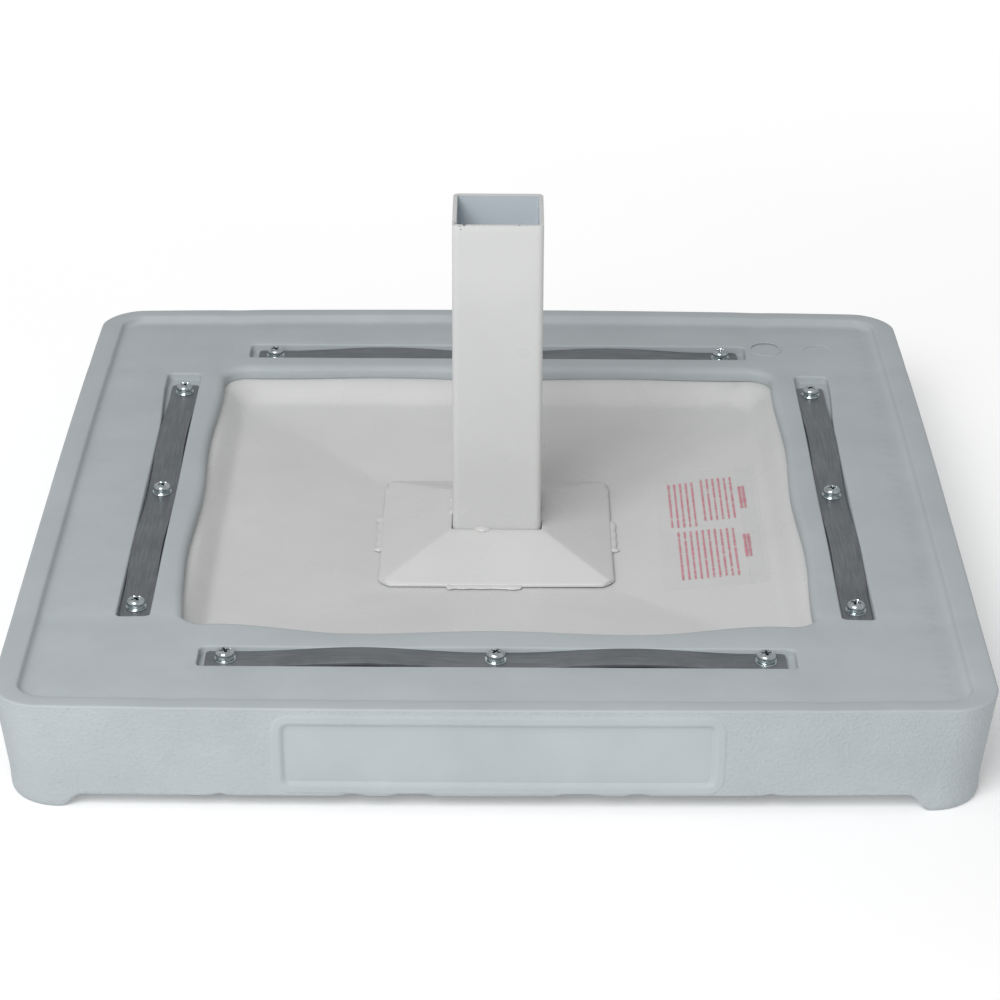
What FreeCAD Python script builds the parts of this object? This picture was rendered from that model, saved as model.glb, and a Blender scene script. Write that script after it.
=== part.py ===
"""Free-standing base of a security gate: moulded surround, steel pan and socket post.

Millimetres, +Z up. The origin is on the post's axis, level with the bottoms of the feet, and the
side with the recessed panel faces -Y.
"""
import FreeCAD, Part

import math
import os

import Sketcher

from FreeCAD import Placement, Rotation, Vector

DRIVING_SIZES = {
    # Moulded surround
    "BaseLength": 610.0,
    "BaseWidth": 620.0,
    "RimTop": 75.0,
    "SkirtBottom": 10.0,
    "SkirtTaper": 7.0,
    "SkirtWall": 14.0,
    "CornerRadius": 30.0,
    "RimLand": 12.0,
    "RimSlope": 6.0,
    "RimRise": 4.0,
    "LipThickness": 10.0,
    "CavityCorner": 120.0,
    "OpeningLength": 406.0,
    "OpeningWidth": 414.0,
    "OpeningCorner": 18.0,
    "FootStep": 1.0,
    "FootRoot": 4.0,
    "FootRound": 4.0,
    "PanelLength": 268.0,
    "PanelHeight": 42.0,
    "PanelMiddle": 41.0,
    "PanelDepth": 1.2,
    "PanelCorner": 5.0,
    # Grooves and clamp strips
    "GrooveLength": 376.0,
    "GrooveBreadth": 26.5,
    "GrooveDepth": 6.0,
    "GrooveCorner": 5.0,
    "GrooveInsetSides": 28.9,
    "GrooveInsetEnds": 29.9,
    "StripShift": 2.3,
    "StripLength": 360.0,
    "StripBreadth": 20.0,
    "StripThickness": 2.5,
    "StripCorner": 4.0,
    "StripArch": 3.0,
    "StripFlat": 16.0,
    "ScrewPitch": 167.5,
    # Screws and nuts
    "ShankDiameter": 6.0,
    "ShankLength": 16.0,
    "HeadDiameter": 12.2,
    "HeadHeight": 5.2,
    "HeadRound": 2.2,
    "CrossSpan": 6.4,
    "CrossBreadth": 1.3,
    "CrossDepth": 1.8,
    "ScrewGap": 0.3,
    "ThreadGap": 0.05,
    "NutAcrossFlats": 10.0,
    "NutHeight": 5.0,
    # Pan
    "PanSheet": 2.5,
    "SeatHeight": 36.0,
    "SeatMargin": 6.0,
    "SeatCorner": 2.0,
    "FloorInset": 13.5,
    "FloorRise": 12.0,
    "FloorCorner": 14.0,
    "FlangeTuck": 6.0,
    "FlangeMargin": 24.0,
    "FlangeCorner": 46.0,
    # Brace plate
    "PlateSize": 158.0,
    "PlateSheet": 2.0,
    "PlateLand": 3.0,
    "PlateRise": 18.0,
    "PlateClip": 8.0,
    "PlateGap": 0.5,
    # Post
    "TubeSize": 60.0,
    "TubeWall": 3.0,
    "TubeCorner": 4.0,
    "PostTop": 275.4,
    # Welds
    "PlateWeldLength": 40.0,
    "PlateWeldReach": 5.0,
    "PostWeldLength": 26.0,
    "PostWeldLeg": 4.0,
    "RootWeldLength": 44.0,
    # Label film
    "LabelLength": 72.0,
    "LabelBreadth": 178.0,
    "LabelFilm": 0.3,
    "LabelCorner": 3.0,
    "LabelInset": 27.0,
}

# Quarter turns about +Z that carry the front side to each side.
SIDES = {"front": 0, "right": 1, "rear": 2, "left": 3}
SCREW_STEPS = (-1, 0, 1)
UP = Vector(0, 0, 1)

document = FreeCAD.newDocument("SecurityGateBase")
sheet = document.addObject("Spreadsheet::Sheet", "Sizes")
nodes = []


class Measure:
    """A size that knows its expression for the document and its value for starting geometry."""

    def __init__(self, text, value):
        self.text = text
        self.value = value

    def __add__(self, other):
        other = measure(other)
        return Measure(f"({self.text} + {other.text})", self.value + other.value)

    def __sub__(self, other):
        other = measure(other)
        return Measure(f"({self.text} - {other.text})", self.value - other.value)

    def __mul__(self, other):
        other = measure(other)
        return Measure(f"({self.text} * {other.text})", self.value * other.value)

    def __truediv__(self, other):
        other = measure(other)
        return Measure(f"({self.text} / {other.text})", self.value / other.value)

    def __neg__(self):
        return Measure(f"(0 - {self.text})", -self.value)

    def root(self):
        """Square root."""
        return Measure(f"sqrt({self.text})", math.sqrt(self.value))

    def slope_angle(self):
        """Angle in degrees whose tangent is this measure."""
        return Measure(f"atan({self.text})", math.degrees(math.atan(self.value)))


def measure(item):
    """Return a measure for a plain number, a name in the sheet or a measure."""
    if isinstance(item, Measure):
        return item
    if isinstance(item, str):
        return Measure(f"Sizes.{item}", DRIVING_SIZES[item])
    return Measure(f"{item:g}", float(item))


def fill_sheet():
    """Write one named row for each driving size."""
    for row, (alias, value) in enumerate(DRIVING_SIZES.items(), start=1):
        sheet.set(f"A{row}", alias)
        sheet.set(f"B{row}", f"{value:g}")
        sheet.setAlias(f"B{row}", alias)
    document.recompute()


fill_sheet()
BASE_LENGTH = measure("BaseLength")
BASE_WIDTH = measure("BaseWidth")
LIP_TOP = measure("RimTop") - "RimRise"
LIP_UNDERSIDE = LIP_TOP - "LipThickness"
GROOVE_FLOOR = LIP_TOP - "GrooveDepth"
GROOVE_ACROSS = measure("OpeningLength") / 2 + "GrooveInsetSides"
GROOVE_ALONG = measure("OpeningWidth") / 2 + "GrooveInsetEnds"
STRIP_TOP = GROOVE_FLOOR + "StripThickness"
SEAT = measure("SeatHeight")
SEAT_SIZE = measure("PlateSize") + measure("SeatMargin") * 2
FLOOR_LENGTH = measure("OpeningLength") - measure("FloorInset") * 2
FLOOR_WIDTH = measure("OpeningWidth") - measure("FloorInset") * 2
FLOOR_SLOPE = measure("FloorRise") / ((FLOOR_LENGTH - SEAT_SIZE) / 2)
PLATE_HOLE = measure("TubeSize") + measure("PlateGap") * 2
PLATE_EDGE_TOP = SEAT + "PlateSheet"
PLATE_TOP = PLATE_EDGE_TOP + "PlateRise"
TUBE_FACE = measure("TubeSize") / 2


def bind(item, **measures):
    """Bind properties to the sheet; a double underscore stands for a dot in a path."""
    for path, amount in measures.items():
        item.setExpression(path.replace("__", "."), measure(amount).text)


def put(item, x=0, y=0, z=0, turn=None):
    """Bind an object's place, after setting its turn."""
    if turn is not None:
        item.Placement = Placement(Vector(), turn)
    bind(item, Placement__Base__x=x, Placement__Base__y=y, Placement__Base__z=z)


def publish(item, name):
    """Register a finished sub-part under its node name."""
    item.Label = name
    nodes.append(item)
    return item


def origin_plane(body, role):
    """Return one of a body's own origin planes."""
    return next(plane for plane in body.Origin.OriginFeatures if plane.Role == role)


def new_sketch(body, name, role="XY_Plane", offset=0):
    """Attach a sketch to an origin plane of its body, moved along the plane's normal."""
    sketch = body.newObject("Sketcher::SketchObject", f"{body.Name}_{name}")
    sketch.AttachmentSupport = (origin_plane(body, role), "")
    sketch.MapMode = "FlatFace"
    bind(sketch, AttachmentOffset__Base__z=offset)
    return sketch


def dimension(sketch, kind, *references, amount):
    """Add one dimension that follows the sheet."""
    amount = measure(amount)
    index = sketch.addConstraint(Sketcher.Constraint(kind, *references, amount.value))
    sketch.setExpression(f"Constraints[{index}]", amount.text)


def locate(sketch, geometry, point, x, y):
    """Fix one point of a sketch at a measured place."""
    dimension(sketch, "DistanceX", -1, 1, geometry, point, amount=x)
    dimension(sketch, "DistanceY", -1, 1, geometry, point, amount=y)


def draw_circle(sketch, x, y, radius):
    """Draw a measured circle."""
    x, y, radius = measure(x), measure(y), measure(radius)
    index = sketch.addGeometry(Part.Circle(Vector(x.value, y.value), UP, radius.value), False)
    dimension(sketch, "Radius", index, amount=radius)
    locate(sketch, index, 3, x, y)


def draw_rounded_rectangle(sketch, length, breadth, radius, middle_x=0, middle_y=0):
    """Draw a measured rectangle with round corners about a measured middle."""
    length, breadth, radius = measure(length), measure(breadth), measure(radius)
    middle_x, middle_y = measure(middle_x), measure(middle_y)
    first = sketch.GeometryCount
    middle = Vector(middle_x.value, middle_y.value)
    reach_x, reach_y = length.value / 2, breadth.value / 2
    inner_x, inner_y = reach_x - radius.value, reach_y - radius.value
    sides = (
        (Vector(-inner_x, -reach_y), Vector(inner_x, -reach_y)),
        (Vector(reach_x, -inner_y), Vector(reach_x, inner_y)),
        (Vector(inner_x, reach_y), Vector(-inner_x, reach_y)),
        (Vector(-reach_x, inner_y), Vector(-reach_x, -inner_y)),
    )
    corners = (
        Vector(inner_x, -inner_y),
        Vector(inner_x, inner_y),
        Vector(-inner_x, inner_y),
        Vector(-inner_x, -inner_y),
    )
    for quarter, ((start, end), corner) in enumerate(zip(sides, corners)):
        sketch.addGeometry(Part.LineSegment(middle + start, middle + end), False)
        circle = Part.Circle(middle + corner, UP, radius.value)
        begin = math.radians(90 * (quarter - 1))
        sketch.addGeometry(Part.ArcOfCircle(circle, begin, begin + math.pi / 2), False)
    for step in range(8):
        following = first + (step + 1) % 8
        sketch.addConstraint(Sketcher.Constraint("Tangent", first + step, 2, following, 1))
    for step, direction in ((0, "Horizontal"), (2, "Vertical"), (4, "Horizontal"), (6, "Vertical")):
        sketch.addConstraint(Sketcher.Constraint(direction, first + step))
    for arc in (3, 5, 7):
        sketch.addConstraint(Sketcher.Constraint("Equal", first + 1, first + arc))
    dimension(sketch, "Radius", first + 1, amount=radius)
    dimension(sketch, "DistanceX", first + 6, 1, first + 2, 1, amount=length)
    dimension(sketch, "DistanceY", first, 1, first + 4, 1, amount=breadth)
    locate(sketch, first + 3, 3, middle_x + length / 2 - radius, middle_y + breadth / 2 - radius)


def draw_outline(sketch, points, arcs=None):
    """Draw a closed outline through measured points.

    Each arc is listed by the number of the point it starts from, as (radius, bulge), where a
    positive bulge lies to the right of the way to the next point.
    """
    arcs = arcs or {}
    points = [(measure(x), measure(y)) for x, y in points]
    places = [Vector(x.value, y.value) for x, y in points]
    starts = []
    for index, start in enumerate(places):
        end = places[(index + 1) % len(places)]
        if index in arcs:
            radius, bulge = arcs[index]
            radius = measure(radius)
            chord = end - start
            right = Vector(chord.y, -chord.x).normalize() * bulge
            rise = radius.value - math.sqrt(radius.value ** 2 - chord.Length ** 2 / 4)
            curve = Part.Arc(start, (start + end) / 2 + right * rise, end)
            geometry = sketch.addGeometry(curve, False)
            dimension(sketch, "Radius", geometry, amount=radius)
        else:
            geometry = sketch.addGeometry(Part.LineSegment(start, end), False)
        forward = (sketch.getPoint(geometry, 1) - start).Length < 1e-6
        starts.append((geometry, 1 if forward else 2, 2 if forward else 1))
    for index, (geometry, _, end_point) in enumerate(starts):
        following, start_point, _ = starts[(index + 1) % len(starts)]
        joint = Sketcher.Constraint("Coincident", geometry, end_point, following, start_point)
        sketch.addConstraint(joint)
    for (geometry, start_point, _), (x, y) in zip(starts, points):
        locate(sketch, geometry, start_point, x, y)


def pad(body, name, sketch, length):
    """Raise a sketch along its normal."""
    document.recompute()
    feature = body.newObject("PartDesign::Pad", f"{body.Name}_{name}")
    feature.Profile = sketch
    feature.Type = "Length"
    bind(feature, Length=length)
    document.recompute()
    return feature


def pocket(body, name, sketch, depth):
    """Cut a sketch into the solid, against the sketch's normal."""
    document.recompute()
    before = body.Shape.Volume
    feature = body.newObject("PartDesign::Pocket", f"{body.Name}_{name}")
    feature.Profile = sketch
    feature.Type = "Length"
    bind(feature, Length=depth)
    document.recompute()
    if body.Shape.Volume >= before:
        raise RuntimeError(f"{body.Name}: {name} cuts nothing")
    return feature


def loft(body, name, sections, subtractive=False):
    """Join rounded rectangles, given as (height, length, breadth, radius), by ruled faces."""
    sketches = []
    for level, (height, length, breadth, radius) in enumerate(sections):
        sketch = new_sketch(body, f"{name}Section{level}", offset=height)
        draw_rounded_rectangle(sketch, length, breadth, radius)
        sketches.append(sketch)
    document.recompute()
    kind = "SubtractiveLoft" if subtractive else "AdditiveLoft"
    feature = body.newObject(f"PartDesign::{kind}", f"{body.Name}_{name}")
    feature.Profile = sketches[0]
    feature.Sections = sketches[1:]
    feature.Ruled = True
    document.recompute()
    return feature


def primitive(kind, name, **measures):
    """Add a Part primitive whose sizes follow the sheet."""
    item = document.addObject(f"Part::{kind}", name)
    bind(item, **measures)
    return item


def centred_box(name, length, breadth, bottom, height):
    """Add a box centred on the vertical axis."""
    box = primitive("Box", name, Length=length, Width=breadth, Height=height)
    put(box, measure(length) / -2, measure(breadth) / -2, bottom)
    return box


def pyramid_frustum(name, bottom_size, top_size, bottom, height):
    """Add a square frustum centred on the vertical axis."""
    low, high = measure(bottom_size) / 2, measure(top_size) / 2
    wedge = primitive(
        "Wedge", name, Xmin=-low, Xmax=low, Zmin=-low, Zmax=low,
        X2min=-high, X2max=high, Z2min=-high, Z2max=high, Ymin=0, Ymax=height,
    )
    put(wedge, z=bottom, turn=Rotation(Vector(1, 0, 0), 90))
    return wedge


def combine(kind, name, *members):
    """Add a Part boolean."""
    item = document.addObject(f"Part::{kind}", name)
    if kind == "MultiFuse":
        item.Shapes = list(members)
    else:
        item.Base, item.Tool = members
    document.recompute()
    return item


def strip_offset(side):
    """Return the distance from the post's axis to the middle of a side's strip."""
    return (GROOVE_ALONG if SIDES[side] % 2 == 0 else GROOVE_ACROSS) - "StripShift"


def side_place(side, along, outward):
    """Return the place that lies outward from the axis and along the side, turning with it."""
    along, outward = measure(along), measure(outward)
    return {
        0: (along, -outward),
        1: (outward, along),
        2: (-along, outward),
        3: (-outward, -along),
    }[SIDES[side]]


def side_turn(side):
    """Return the turn that carries the front side to the named side."""
    return Rotation(UP, 90 * SIDES[side])


def screw_places():
    """List (side, number, x, y) for each screw."""
    places = []
    for side in SIDES:
        for number, step in enumerate(SCREW_STEPS, start=1):
            along = measure("ScrewPitch") * step
            places.append((side, number, *side_place(side, along, strip_offset(side))))
    return places


def make_base_surround():
    """Moulded ring: skirt, rim, grooved lip, recessed panel and corner feet."""
    body = document.addObject("PartDesign::Body", "surround_form")
    taper = measure("SkirtTaper") * 2
    loft(body, "Skirt", (
        ("SkirtBottom", BASE_LENGTH - taper, BASE_WIDTH - taper, "CornerRadius"),
        ("RimTop", BASE_LENGTH, BASE_WIDTH, "CornerRadius"),
    ))
    land = measure("RimLand") * 2
    border = land + measure("RimSlope") * 2
    inner_corner = measure("CornerRadius") - "RimLand"
    loft(body, "RimRecess", (
        (LIP_TOP, BASE_LENGTH - border, BASE_WIDTH - border, inner_corner),
        ("RimTop", BASE_LENGTH - land, BASE_WIDTH - land, inner_corner),
    ), subtractive=True)

    cavity = new_sketch(body, "CavityOutline", offset=LIP_UNDERSIDE)
    wall = taper + measure("SkirtWall") * 2
    draw_rounded_rectangle(cavity, BASE_LENGTH - wall, BASE_WIDTH - wall, "CavityCorner")
    pocket(body, "Cavity", cavity, LIP_UNDERSIDE)

    opening = new_sketch(body, "OpeningOutline", offset=LIP_TOP)
    draw_rounded_rectangle(opening, "OpeningLength", "OpeningWidth", "OpeningCorner")
    pocket(body, "Opening", opening, "LipThickness")

    grooves = new_sketch(body, "GrooveOutlines", offset=LIP_TOP)
    for sign in (-1, 1):
        draw_rounded_rectangle(
            grooves, "GrooveLength", "GrooveBreadth", "GrooveCorner", middle_y=GROOVE_ALONG * sign)
        draw_rounded_rectangle(
            grooves, "GrooveBreadth", "GrooveLength", "GrooveCorner", middle_x=GROOVE_ACROSS * sign)
    pocket(body, "Grooves", grooves, "GrooveDepth")

    holes = new_sketch(body, "ScrewHoles", offset=GROOVE_FLOOR)
    for _, _, x, y in screw_places():
        draw_circle(holes, x, y, measure("ShankDiameter") / 2 + "ScrewGap")
    pocket(body, "ScrewPassages", holes, measure("LipThickness") - "GrooveDepth")

    lean = measure("SkirtTaper") / (measure("RimTop") - "SkirtBottom")
    panel = new_sketch(body, "PanelOutline", "XZ_Plane")
    panel.AttachmentOffset = Placement(Vector(), Rotation(Vector(1, 0, 0), lean.slope_angle().value))
    bind(
        panel,
        AttachmentOffset__Base__y="PanelMiddle",
        AttachmentOffset__Base__z=BASE_WIDTH / 2 - lean * (measure("RimTop") - "PanelMiddle"),
        AttachmentOffset__Rotation__Angle=lean.slope_angle(),
    )
    draw_rounded_rectangle(panel, "PanelLength", "PanelHeight", "PanelCorner")
    pocket(body, "FrontPanel", panel, "PanelDepth")

    feet = [make_foot(*corner) for corner in ((-1, -1), (1, -1), (1, 1), (-1, 1))]
    publish(combine("MultiFuse", "surround_with_feet", body, *feet), "base_surround")


def make_foot(east, north):
    """Rounded foot that carries one corner of the skirt down to the floor."""
    foot = document.addObject("PartDesign::Body", "corner_foot")
    profile = new_sketch(foot, "Profile", "XZ_Plane")
    radius, rounding = measure("CornerRadius") - "FootStep", measure("FootRound")
    top = measure("SkirtBottom") + "FootRoot"
    draw_outline(
        profile,
        ((0, 0), (radius - rounding, 0), (radius, rounding), (radius, top), (0, top)),
        arcs={1: (rounding, 1)},
    )
    revolve(foot, "Turned", profile)
    inset = measure("SkirtTaper") + "CornerRadius"
    put(foot, (BASE_LENGTH / 2 - inset) * east, (BASE_WIDTH / 2 - inset) * north)
    return foot


def revolve(body, name, sketch):
    """Turn a sketch once about its upright axis."""
    document.recompute()
    feature = body.newObject("PartDesign::Revolution", f"{body.Name}_{name}")
    feature.Profile = sketch
    feature.ReferenceAxis = (sketch, ["V_Axis"])
    feature.Angle = 360
    document.recompute()
    return feature


def make_steel_pan():
    """Pressed sheet: level seat, rising floor with creased corners, upstand and flange."""
    body = document.addObject("PartDesign::Body", "steel_pan")
    tuck = measure("FlangeTuck")
    upper_length = measure("OpeningLength") + tuck * 2
    upper_width = measure("OpeningWidth") + tuck * 2
    floor_edge = SEAT + "FloorRise"
    profile = (
        (SEAT, SEAT_SIZE, SEAT_SIZE, "SeatCorner"),
        (floor_edge, FLOOR_LENGTH, FLOOR_WIDTH, "FloorCorner"),
        (LIP_UNDERSIDE, upper_length, upper_width, measure("OpeningCorner") + tuck),
    )
    underside = [(height - "PanSheet", *outline) for height, *outline in profile]
    loft(body, "Underside", underside)

    flange = new_sketch(body, "FlangeOutline", offset=LIP_UNDERSIDE - "PanSheet")
    margin = measure("FlangeMargin")
    draw_rounded_rectangle(
        flange, (GROOVE_ACROSS + margin) * 2, (GROOVE_ALONG + margin) * 2, "FlangeCorner")
    pad(body, "Flange", flange, "PanSheet")
    loft(body, "Hollow", profile, subtractive=True)

    holes = new_sketch(body, "ScrewHoles", offset=LIP_UNDERSIDE)
    for _, _, x, y in screw_places():
        draw_circle(holes, x, y, measure("ShankDiameter") / 2 + "ScrewGap")
    pocket(body, "ScrewPassages", holes, "PanSheet")
    publish(body, "steel_pan")


def make_brace_plate():
    """Raised square plate with clipped corners and a square hole for the post."""
    edge = centred_box("plate_edge", "PlateSize", "PlateSize", SEAT, "PlateSheet")
    outer = pyramid_frustum("plate_outer", "PlateSize", PLATE_HOLE, PLATE_EDGE_TOP, "PlateRise")
    inner_size = measure("PlateSize") - measure("PlateLand") * 2
    inner = pyramid_frustum("plate_inner", inner_size, PLATE_HOLE, SEAT, "PlateRise")
    height = measure("PlateSheet") + "PlateRise"
    hole = centred_box("plate_hole", PLATE_HOLE, PLATE_HOLE, SEAT, height)
    solid = combine("MultiFuse", "plate_solid", edge, outer)
    hollow = combine("MultiFuse", "plate_hollow", inner, hole)
    shell = combine("Cut", "plate_shell", solid, hollow)
    half_diagonal = measure("PlateSize") - "PlateClip"
    across = half_diagonal * measure(2).root()
    clip = primitive("Box", "plate_clip", Length=across, Width=across, Height=height)
    put(clip, y=-half_diagonal, z=SEAT, turn=Rotation(UP, 45))
    publish(combine("Common", "plate_clipped", shell, clip), "brace_plate")


def make_post_tube():
    """Square socket post, standing on the pan's seat."""
    body = document.addObject("PartDesign::Body", "post_tube")
    section = new_sketch(body, "Section", offset=SEAT)
    wall = measure("TubeWall")
    inside = measure("TubeSize") - wall * 2
    draw_rounded_rectangle(section, "TubeSize", "TubeSize", "TubeCorner")
    draw_rounded_rectangle(section, inside, inside, measure("TubeCorner") - wall)
    pad(body, "Length", section, measure("PostTop") - SEAT)
    publish(body, "post_tube")


def make_clamp_strip(side):
    """Flat bar that lies on the groove's floor at its screws and arches between them."""
    name = f"clamp_strip_{side}"
    body = document.addObject("PartDesign::Body", name)
    breadth = measure("StripBreadth")
    profile = new_sketch(body, "Profile", "XZ_Plane", breadth / -2)
    end = measure("StripLength") / 2
    flat = measure("StripFlat") / 2
    outer_flat = measure("ScrewPitch") - flat
    thickness = measure("StripThickness")
    chord, arch = outer_flat - flat, measure("StripArch")
    radius = (chord * chord / 4 + arch * arch) / (arch * 2)
    stations = (-end, -outer_flat, -flat, flat, outer_flat, end)
    points = [(station, 0) for station in stations]
    points += [(station, thickness) for station in reversed(stations)]
    arcs = {1: (radius, -1), 3: (radius, -1), 7: (radius, 1), 9: (radius, 1)}
    draw_outline(profile, points, arcs)
    pad(body, "Bar", profile, breadth)

    corners = new_sketch(body, "CornerOutline", offset=thickness + arch)
    frame = measure("StripCorner") * 2
    draw_rounded_rectangle(corners, end * 2 + frame, breadth + frame, "StripCorner")
    draw_rounded_rectangle(corners, end * 2, breadth, "StripCorner")
    pocket(body, "RoundCorners", corners, thickness + arch)

    holes = new_sketch(body, "ScrewHoles", offset=thickness)
    for step in SCREW_STEPS:
        draw_circle(
            holes, measure("ScrewPitch") * step, 0, measure("ShankDiameter") / 2 + "ScrewGap")
    pocket(body, "ScrewPassages", holes, thickness)
    x, y = side_place(side, 0, strip_offset(side))
    put(body, x, y, GROOVE_FLOOR, side_turn(side))
    publish(body, name)


def make_screw(side, number, x, y):
    """Pan-head screw with a cross recess; its head bears on the strip."""
    name = f"strip_screw_{side}_{number}"
    body = document.addObject("PartDesign::Body", name)
    profile = new_sketch(body, "Profile", "XZ_Plane")
    shank, length = measure("ShankDiameter") / 2, measure("ShankLength")
    head, height = measure("HeadDiameter") / 2, measure("HeadHeight")
    rounding = measure("HeadRound")
    draw_outline(
        profile,
        (
            (0, -length), (shank, -length), (shank, 0), (head, 0),
            (head, height - rounding), (head - rounding, height), (0, height),
        ),
        arcs={4: (rounding, 1)},
    )
    revolve(body, "Turned", profile)
    cross = new_sketch(body, "CrossOutline", offset=height)
    span, arm = measure("CrossSpan") / 2, measure("CrossBreadth") / 2
    draw_outline(cross, (
        (-arm, -span), (arm, -span), (arm, -arm), (span, -arm), (span, arm), (arm, arm),
        (arm, span), (-arm, span), (-arm, arm), (-span, arm), (-span, -arm), (-arm, -arm),
    ))
    pocket(body, "Cross", cross, "CrossDepth")
    put(body, x, y, STRIP_TOP, side_turn(side))
    publish(body, name)


def make_weld_nut(side, number, x, y):
    """Hexagon nut welded under the pan's flange."""
    name = f"weld_nut_{side}_{number}"
    hexagon = primitive(
        "Prism", f"{name}_hexagon", Height="NutHeight",
        Circumradius=measure("NutAcrossFlats") / measure(3).root(),
    )
    hexagon.Polygon = 6
    bore = primitive(
        "Cylinder", f"{name}_bore", Height="NutHeight",
        Radius=measure("ShankDiameter") / 2 + "ThreadGap",
    )
    nut = combine("Cut", f"{name}_cut", hexagon, bore)
    put(nut, x, y, LIP_UNDERSIDE - "PanSheet" - "NutHeight")
    publish(nut, name)


def make_weld(kind, side, section, length):
    """Weld bead of one section, centred on the middle of a side of the post or the plate."""
    name = f"{kind}_{side}"
    body = document.addObject("PartDesign::Body", name)
    sketch = new_sketch(body, "Section", "YZ_Plane", measure(length) / -2)
    draw_outline(sketch, section)
    pad(body, "Bead", sketch, length)
    put(body, turn=side_turn(side))
    publish(body, name)


def make_welds():
    """Beads at the plate's edges, between plate and post, and at the post's foot."""
    edge = measure("PlateSize") / -2
    plate_section = ((edge, SEAT), (edge, PLATE_EDGE_TOP), (edge - "PlateWeldReach", SEAT))
    face, hole = -TUBE_FACE, PLATE_HOLE / -2
    leg = measure("PostWeldLeg")
    plate_slope = measure("PlateRise") / (hole - edge)
    post_section = (
        (face, PLATE_TOP),
        (face, PLATE_TOP + leg),
        (hole - leg, PLATE_TOP - plate_slope * leg),
        (hole, PLATE_TOP),
    )
    root_section = ((face, SEAT), (face, SEAT + leg), (face - leg, SEAT))
    for side in SIDES:
        make_weld("plate_weld", side, plate_section, "PlateWeldLength")
        make_weld("post_weld", side, post_section, "PostWeldLength")
        make_weld("root_weld", side, root_section, "RootWeldLength")


def make_pan_label():
    """Clear film on the right side of the pan's floor."""
    body = document.addObject("PartDesign::Body", "pan_label")
    outline = new_sketch(body, "Outline")
    length = measure("LabelLength")
    middle = measure("LabelInset") + length / 2
    draw_rounded_rectangle(outline, length, "LabelBreadth", "LabelCorner", middle_x=middle)
    pad(body, "Film", outline, "LabelFilm")
    lean = FLOOR_SLOPE.slope_angle()
    put(body, x=SEAT_SIZE / 2, z=SEAT, turn=Rotation(Vector(0, -1, 0), lean.value))
    bind(body, Placement__Rotation__Angle=lean)
    publish(body, "pan_label")


def check_document():
    """Stop if any object failed or any sub-part's shape is empty or invalid."""
    for item in document.Objects:
        if "Invalid" in item.State or "Error" in item.State:
            raise RuntimeError(f"{item.Name} failed: {item.State}")
    for item in nodes:
        if item.Shape.isNull() or not item.Shape.isValid() or item.Shape.Volume <= 0:
            raise RuntimeError(f"{item.Label} has no valid shape")


def export_nodes():
    """Write each sub-part to its own file."""
    os.makedirs("parts", exist_ok=True)
    for item in nodes:
        item.Shape.exportStep(os.path.join("parts", f"{item.Label}.step"))


make_base_surround()
make_steel_pan()
make_brace_plate()
make_post_tube()
for strip_side in SIDES:
    make_clamp_strip(strip_side)
for screw_place in screw_places():
    make_screw(*screw_place)
    make_weld_nut(*screw_place)
make_welds()
make_pan_label()
document.recompute()
check_document()
export_nodes()
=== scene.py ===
"""Studio scene of a security gate's free-standing base.

A grey moulded surround carries a white pressed steel pan, a brace plate and a square socket post,
held by four steel strips with zinc-plated screws. Sizes in the classes are millimetres.
"""
import logging
import math
from dataclasses import dataclass, field
from enum import Enum

import bpy
import numpy as np
from mathutils import Matrix, Quaternion, Vector
from mathutils.geometry import delaunay_2d_cdt


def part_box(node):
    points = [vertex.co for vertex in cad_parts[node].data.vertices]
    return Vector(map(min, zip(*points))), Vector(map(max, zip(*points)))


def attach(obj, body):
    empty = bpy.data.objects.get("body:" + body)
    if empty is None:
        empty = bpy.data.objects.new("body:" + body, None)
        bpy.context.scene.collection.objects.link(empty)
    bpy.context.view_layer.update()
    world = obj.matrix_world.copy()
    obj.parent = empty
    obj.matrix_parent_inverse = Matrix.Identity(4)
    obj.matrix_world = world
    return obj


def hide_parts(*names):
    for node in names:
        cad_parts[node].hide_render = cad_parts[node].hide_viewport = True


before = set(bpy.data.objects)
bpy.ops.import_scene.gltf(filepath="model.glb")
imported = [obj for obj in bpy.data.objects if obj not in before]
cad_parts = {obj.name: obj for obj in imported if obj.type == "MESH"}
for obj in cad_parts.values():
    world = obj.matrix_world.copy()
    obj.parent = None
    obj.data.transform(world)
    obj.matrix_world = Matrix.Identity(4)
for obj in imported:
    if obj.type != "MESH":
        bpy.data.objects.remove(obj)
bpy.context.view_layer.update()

LOG = logging.getLogger("gate_base")
MM = 0.001
BODY = "root"
SHARP_ANGLE = 38.0
# Sizes that more than one piece shares, in millimetres.
POST_TOP = 275.4
SCREW_PITCH = 167.5
SEAT_HEIGHT = 36.0
# How much further out the rear strip lies than its CAD node.
REAR_STRIP_OUT = 2.6


class Side(Enum):
    """Quarter turns about +Z that carry the front to each side."""

    FRONT = 0
    RIGHT = 1
    REAR = 2
    LEFT = 3

    @property
    def label(self) -> str:
        """Name of the side in lower case."""
        return self.name.lower()


# How far each side's strip, screws and groove floor sit above the nominal height, in millimetres.
STRIP_LIFT = {Side.FRONT: 0.0, Side.RIGHT: 0.0, Side.REAR: -0.8, Side.LEFT: 0.0}
# Distance of each groove's middle from the post's axis, in millimetres.
GROOVE_PLACE = {Side.FRONT: 237.0, Side.RIGHT: 231.9, Side.REAR: 237.2, Side.LEFT: 231.9}


class Slot(Enum):
    """Material slots."""

    SURROUND = "surround"
    POWDER_COAT = "powder_coat"
    STRIP_STEEL = "strip_steel"
    ZINC = "zinc"
    FILM = "film"


# ---------------------------------------------------------------- helpers


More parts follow.
